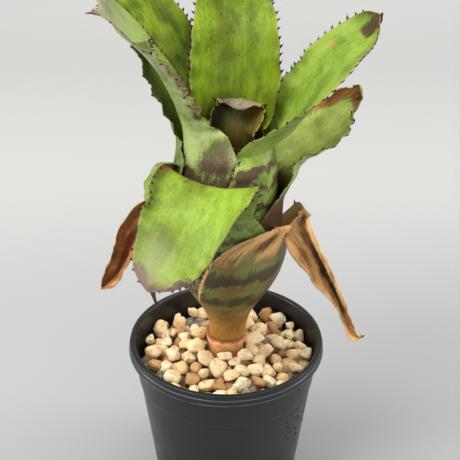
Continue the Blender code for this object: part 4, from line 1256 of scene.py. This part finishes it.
def stem_material():
    material, n, shader = new_material("stem_bark")
    place = n.add("ShaderNodeTexCoord").outputs["Object"]
    height = n.add("ShaderNodeSeparateXYZ", Vector=place).outputs["Z"]
    cloud = n.noise(place, 170.0, 4.0, 0.6)
    fine = n.noise(place, 1100.0, 3.0, 0.6)
    color = n.mix(n.ramp(cloud, 0.35, 0.65), srgb(244, 190, 132), srgb(212, 138, 82))
    upper = n.ramp(n.math("ADD", height, n.math("MULTIPLY", cloud, 0.003)), SOIL_LEVEL + 8.2 * MM, SOIL_LEVEL + 9.8 * MM)
    color = n.mix(upper, color, srgb(176, 92, 52))
    low = n.ramp(n.math("ADD", height, n.math("MULTIPLY", cloud, 0.004)), SOIL_LEVEL + 2.5 * MM, SOIL_LEVEL + 5.5 * MM, 0.5, 0.0)
    color = n.mix(low, color, srgb(150, 84, 46))
    color = n.mix(n.math("MULTIPLY", n.ramp(fine, 0.55, 0.7), 0.4), color, srgb(110, 62, 36))
    n.tree.links.new(color, shader.inputs["Base Color"])
    n.tree.links.new(n.ramp(cloud, 0.3, 0.7, 0.28, 0.42), shader.inputs["Roughness"])
    bump = n.add("ShaderNodeBump", Height=n.math("ADD", fine, cloud), Strength=0.3, Distance=0.0003)
    n.tree.links.new(bump.outputs["Normal"], shader.inputs["Normal"])
    return material


# Set, camera and light

def paper_material():
    """Pale matt paper with painted shade and light: greyer in front of and under the pot, lighter towards the back."""
    material, n, shader = new_material("pale_paper")
    place = n.add("ShaderNodeTexCoord").outputs["Object"]
    depth = n.add("ShaderNodeSeparateXYZ", Vector=place).outputs["Y"]
    # Painted shade towards the front and under the pot, painted light towards the back; the noise is the paper's own
    # tone.
    color = n.mix(n.ramp(depth, 0.12, 0.4), srgb(154, 154, 153), srgb(176, 176, 174))
    color = n.mix(n.ramp(depth, 0.6, 0.9), color, srgb(193, 193, 191))
    color = n.mix(n.math("MULTIPLY", n.noise(place, 3.0), 0.2), color, srgb(168, 168, 166))
    n.tree.links.new(color, shader.inputs["Base Color"])
    shader.inputs["Roughness"].default_value = 0.8
    return material


def make_set():
    """A pale floor that curves up into a backdrop behind the pot."""
    mesh = bmesh.new()
    rows = []
    profile = [(-1.6, 0.0), (0.9, 0.0)]
    for step in range(1, 13):
        turn = math.pi / 2 * step / 12
        profile.append((0.9 + 0.6 * math.sin(turn), 0.6 * (1 - math.cos(turn))))
    profile.append((1.5, 2.4))
    for y, z in profile:
        rows.append([mesh.verts.new((x, y, z)) for x in (-2.4, 2.4)])
    for low, high in zip(rows, rows[1:]):
        mesh.faces.new((low[0], low[1], high[1], high[0]))
    data = bpy.data.meshes.new("paper_sweep")
    mesh.to_mesh(data)
    mesh.free()
    data.shade_smooth()
    sweep = bpy.data.objects.new("paper_sweep", data)
    bpy.context.scene.collection.objects.link(sweep)
    sweep.data.materials.append(paper_material())


def place_camera():
    data = bpy.data.cameras.new("camera")
    camera = bpy.data.objects.new("camera", data)
    bpy.context.scene.collection.objects.link(camera)
    data.sensor_width = 36
    data.lens = 86.8
    data.clip_start = 0.01
    forward = Vector((0, 0.86278, -0.50558))
    up = Vector((0, 0.50558, 0.86278))
    roll = math.radians(0.27)
    right = Vector((1, 0, 0)) * math.cos(roll) + up * math.sin(roll)
    top = up * math.cos(roll) - Vector((1, 0, 0)) * math.sin(roll)
    turn = Matrix((right, top, -forward)).transposed()
    camera.matrix_world = Matrix.Translation((0.00183, -0.48860, 0.44695)) @ turn.to_4x4()
    bpy.context.scene.camera = camera


def add_light(name, place, target, size, power, colour=(1, 1, 1)):
    data = bpy.data.lights.new(name, "AREA")
    data.shape = "RECTANGLE"
    data.size, data.size_y = size
    data.energy = power
    data.color = colour
    light = bpy.data.objects.new(name, data)
    bpy.context.scene.collection.objects.link(light)
    light.location = place
    light.rotation_euler = (Vector(target) - Vector(place)).to_track_quat("-Z", "Y").to_euler()


def light_scene():
    world = bpy.data.worlds.new("studio")
    world.use_nodes = True
    world.node_tree.nodes["Background"].inputs["Color"].default_value = (0.97, 0.985, 1.0, 1)
    world.node_tree.nodes["Background"].inputs["Strength"].default_value = 0.42
    bpy.context.scene.world = world
    bpy.context.scene.view_settings.view_transform = "Standard"
    add_light("key_window", (-0.8, -0.55, 1.5), (0, 0, 0.15), (0.9, 0.9), 25, (1.0, 0.99, 0.97))
    add_light("top_softbox", (0.25, 0.2, 1.6), (0, 0, 0.1), (1.2, 1.0), 17)
    add_light("right_fill", (1.2, 0.1, 0.7), (0, 0, 0.15), (0.6, 1.1), 6)
    add_light("left_strip", (-0.9, -0.05, 0.3), (0, 0, 0.06), (0.25, 0.5), 4.4)
    add_light("right_strip", (0.9, -0.05, 0.3), (0, 0, 0.06), (0.25, 0.5), 1.5)
    add_light("front_fill", (0.35, -1.3, 0.75), (0, 0, 0.12), (0.9, 0.7), 3)


def dress(piece, node, material):
    piece.data.materials.clear()
    piece.data.materials.append(material)
    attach(piece, "root")
    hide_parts(node)


def main():
    for seed, (name, leaf) in enumerate(LEAVES.items()):
        piece = grow_leaf(name + "_grown", leaf, seed + 1)
        dress(piece, name, leaf_material(name + "_skin", float(seed * 7 + 2), **LEAF_LOOKS[name]))
    dress(make_pot(), "pot", plastic_material())
    dress(make_drops(random.Random(8)), "pot", drop_material())
    dress(make_stem(), "stem", stem_material())
    # The stones under the top layer and the bed are darkened by 0.6 towards deep brown: painted shade in the gaps
    # between the top stones.
    stone, shaded_pumice = pumice_material("pumice_stone", 0.0), pumice_material("pumice_painted_shade", 0.6)
    placed = settle_stones(random.Random(5))
    upper = [s for s in placed if s[2] + 1.5 * s[3] > surface_height(math.hypot(s[0], s[1])) + 1.5 * MM]
    lower = [s for s in placed if s not in upper]
    dress(make_stones("pumice_top", upper, 3, 21), "pumice", stone)
    dress(make_stones("pumice_under", lower, 2, 22), "pumice", shaded_pumice)
    dress(make_bed(), "pumice", shaded_pumice)
    print("stones", len(upper), len(lower))
    make_set()
    place_camera()
    light_scene()


main()
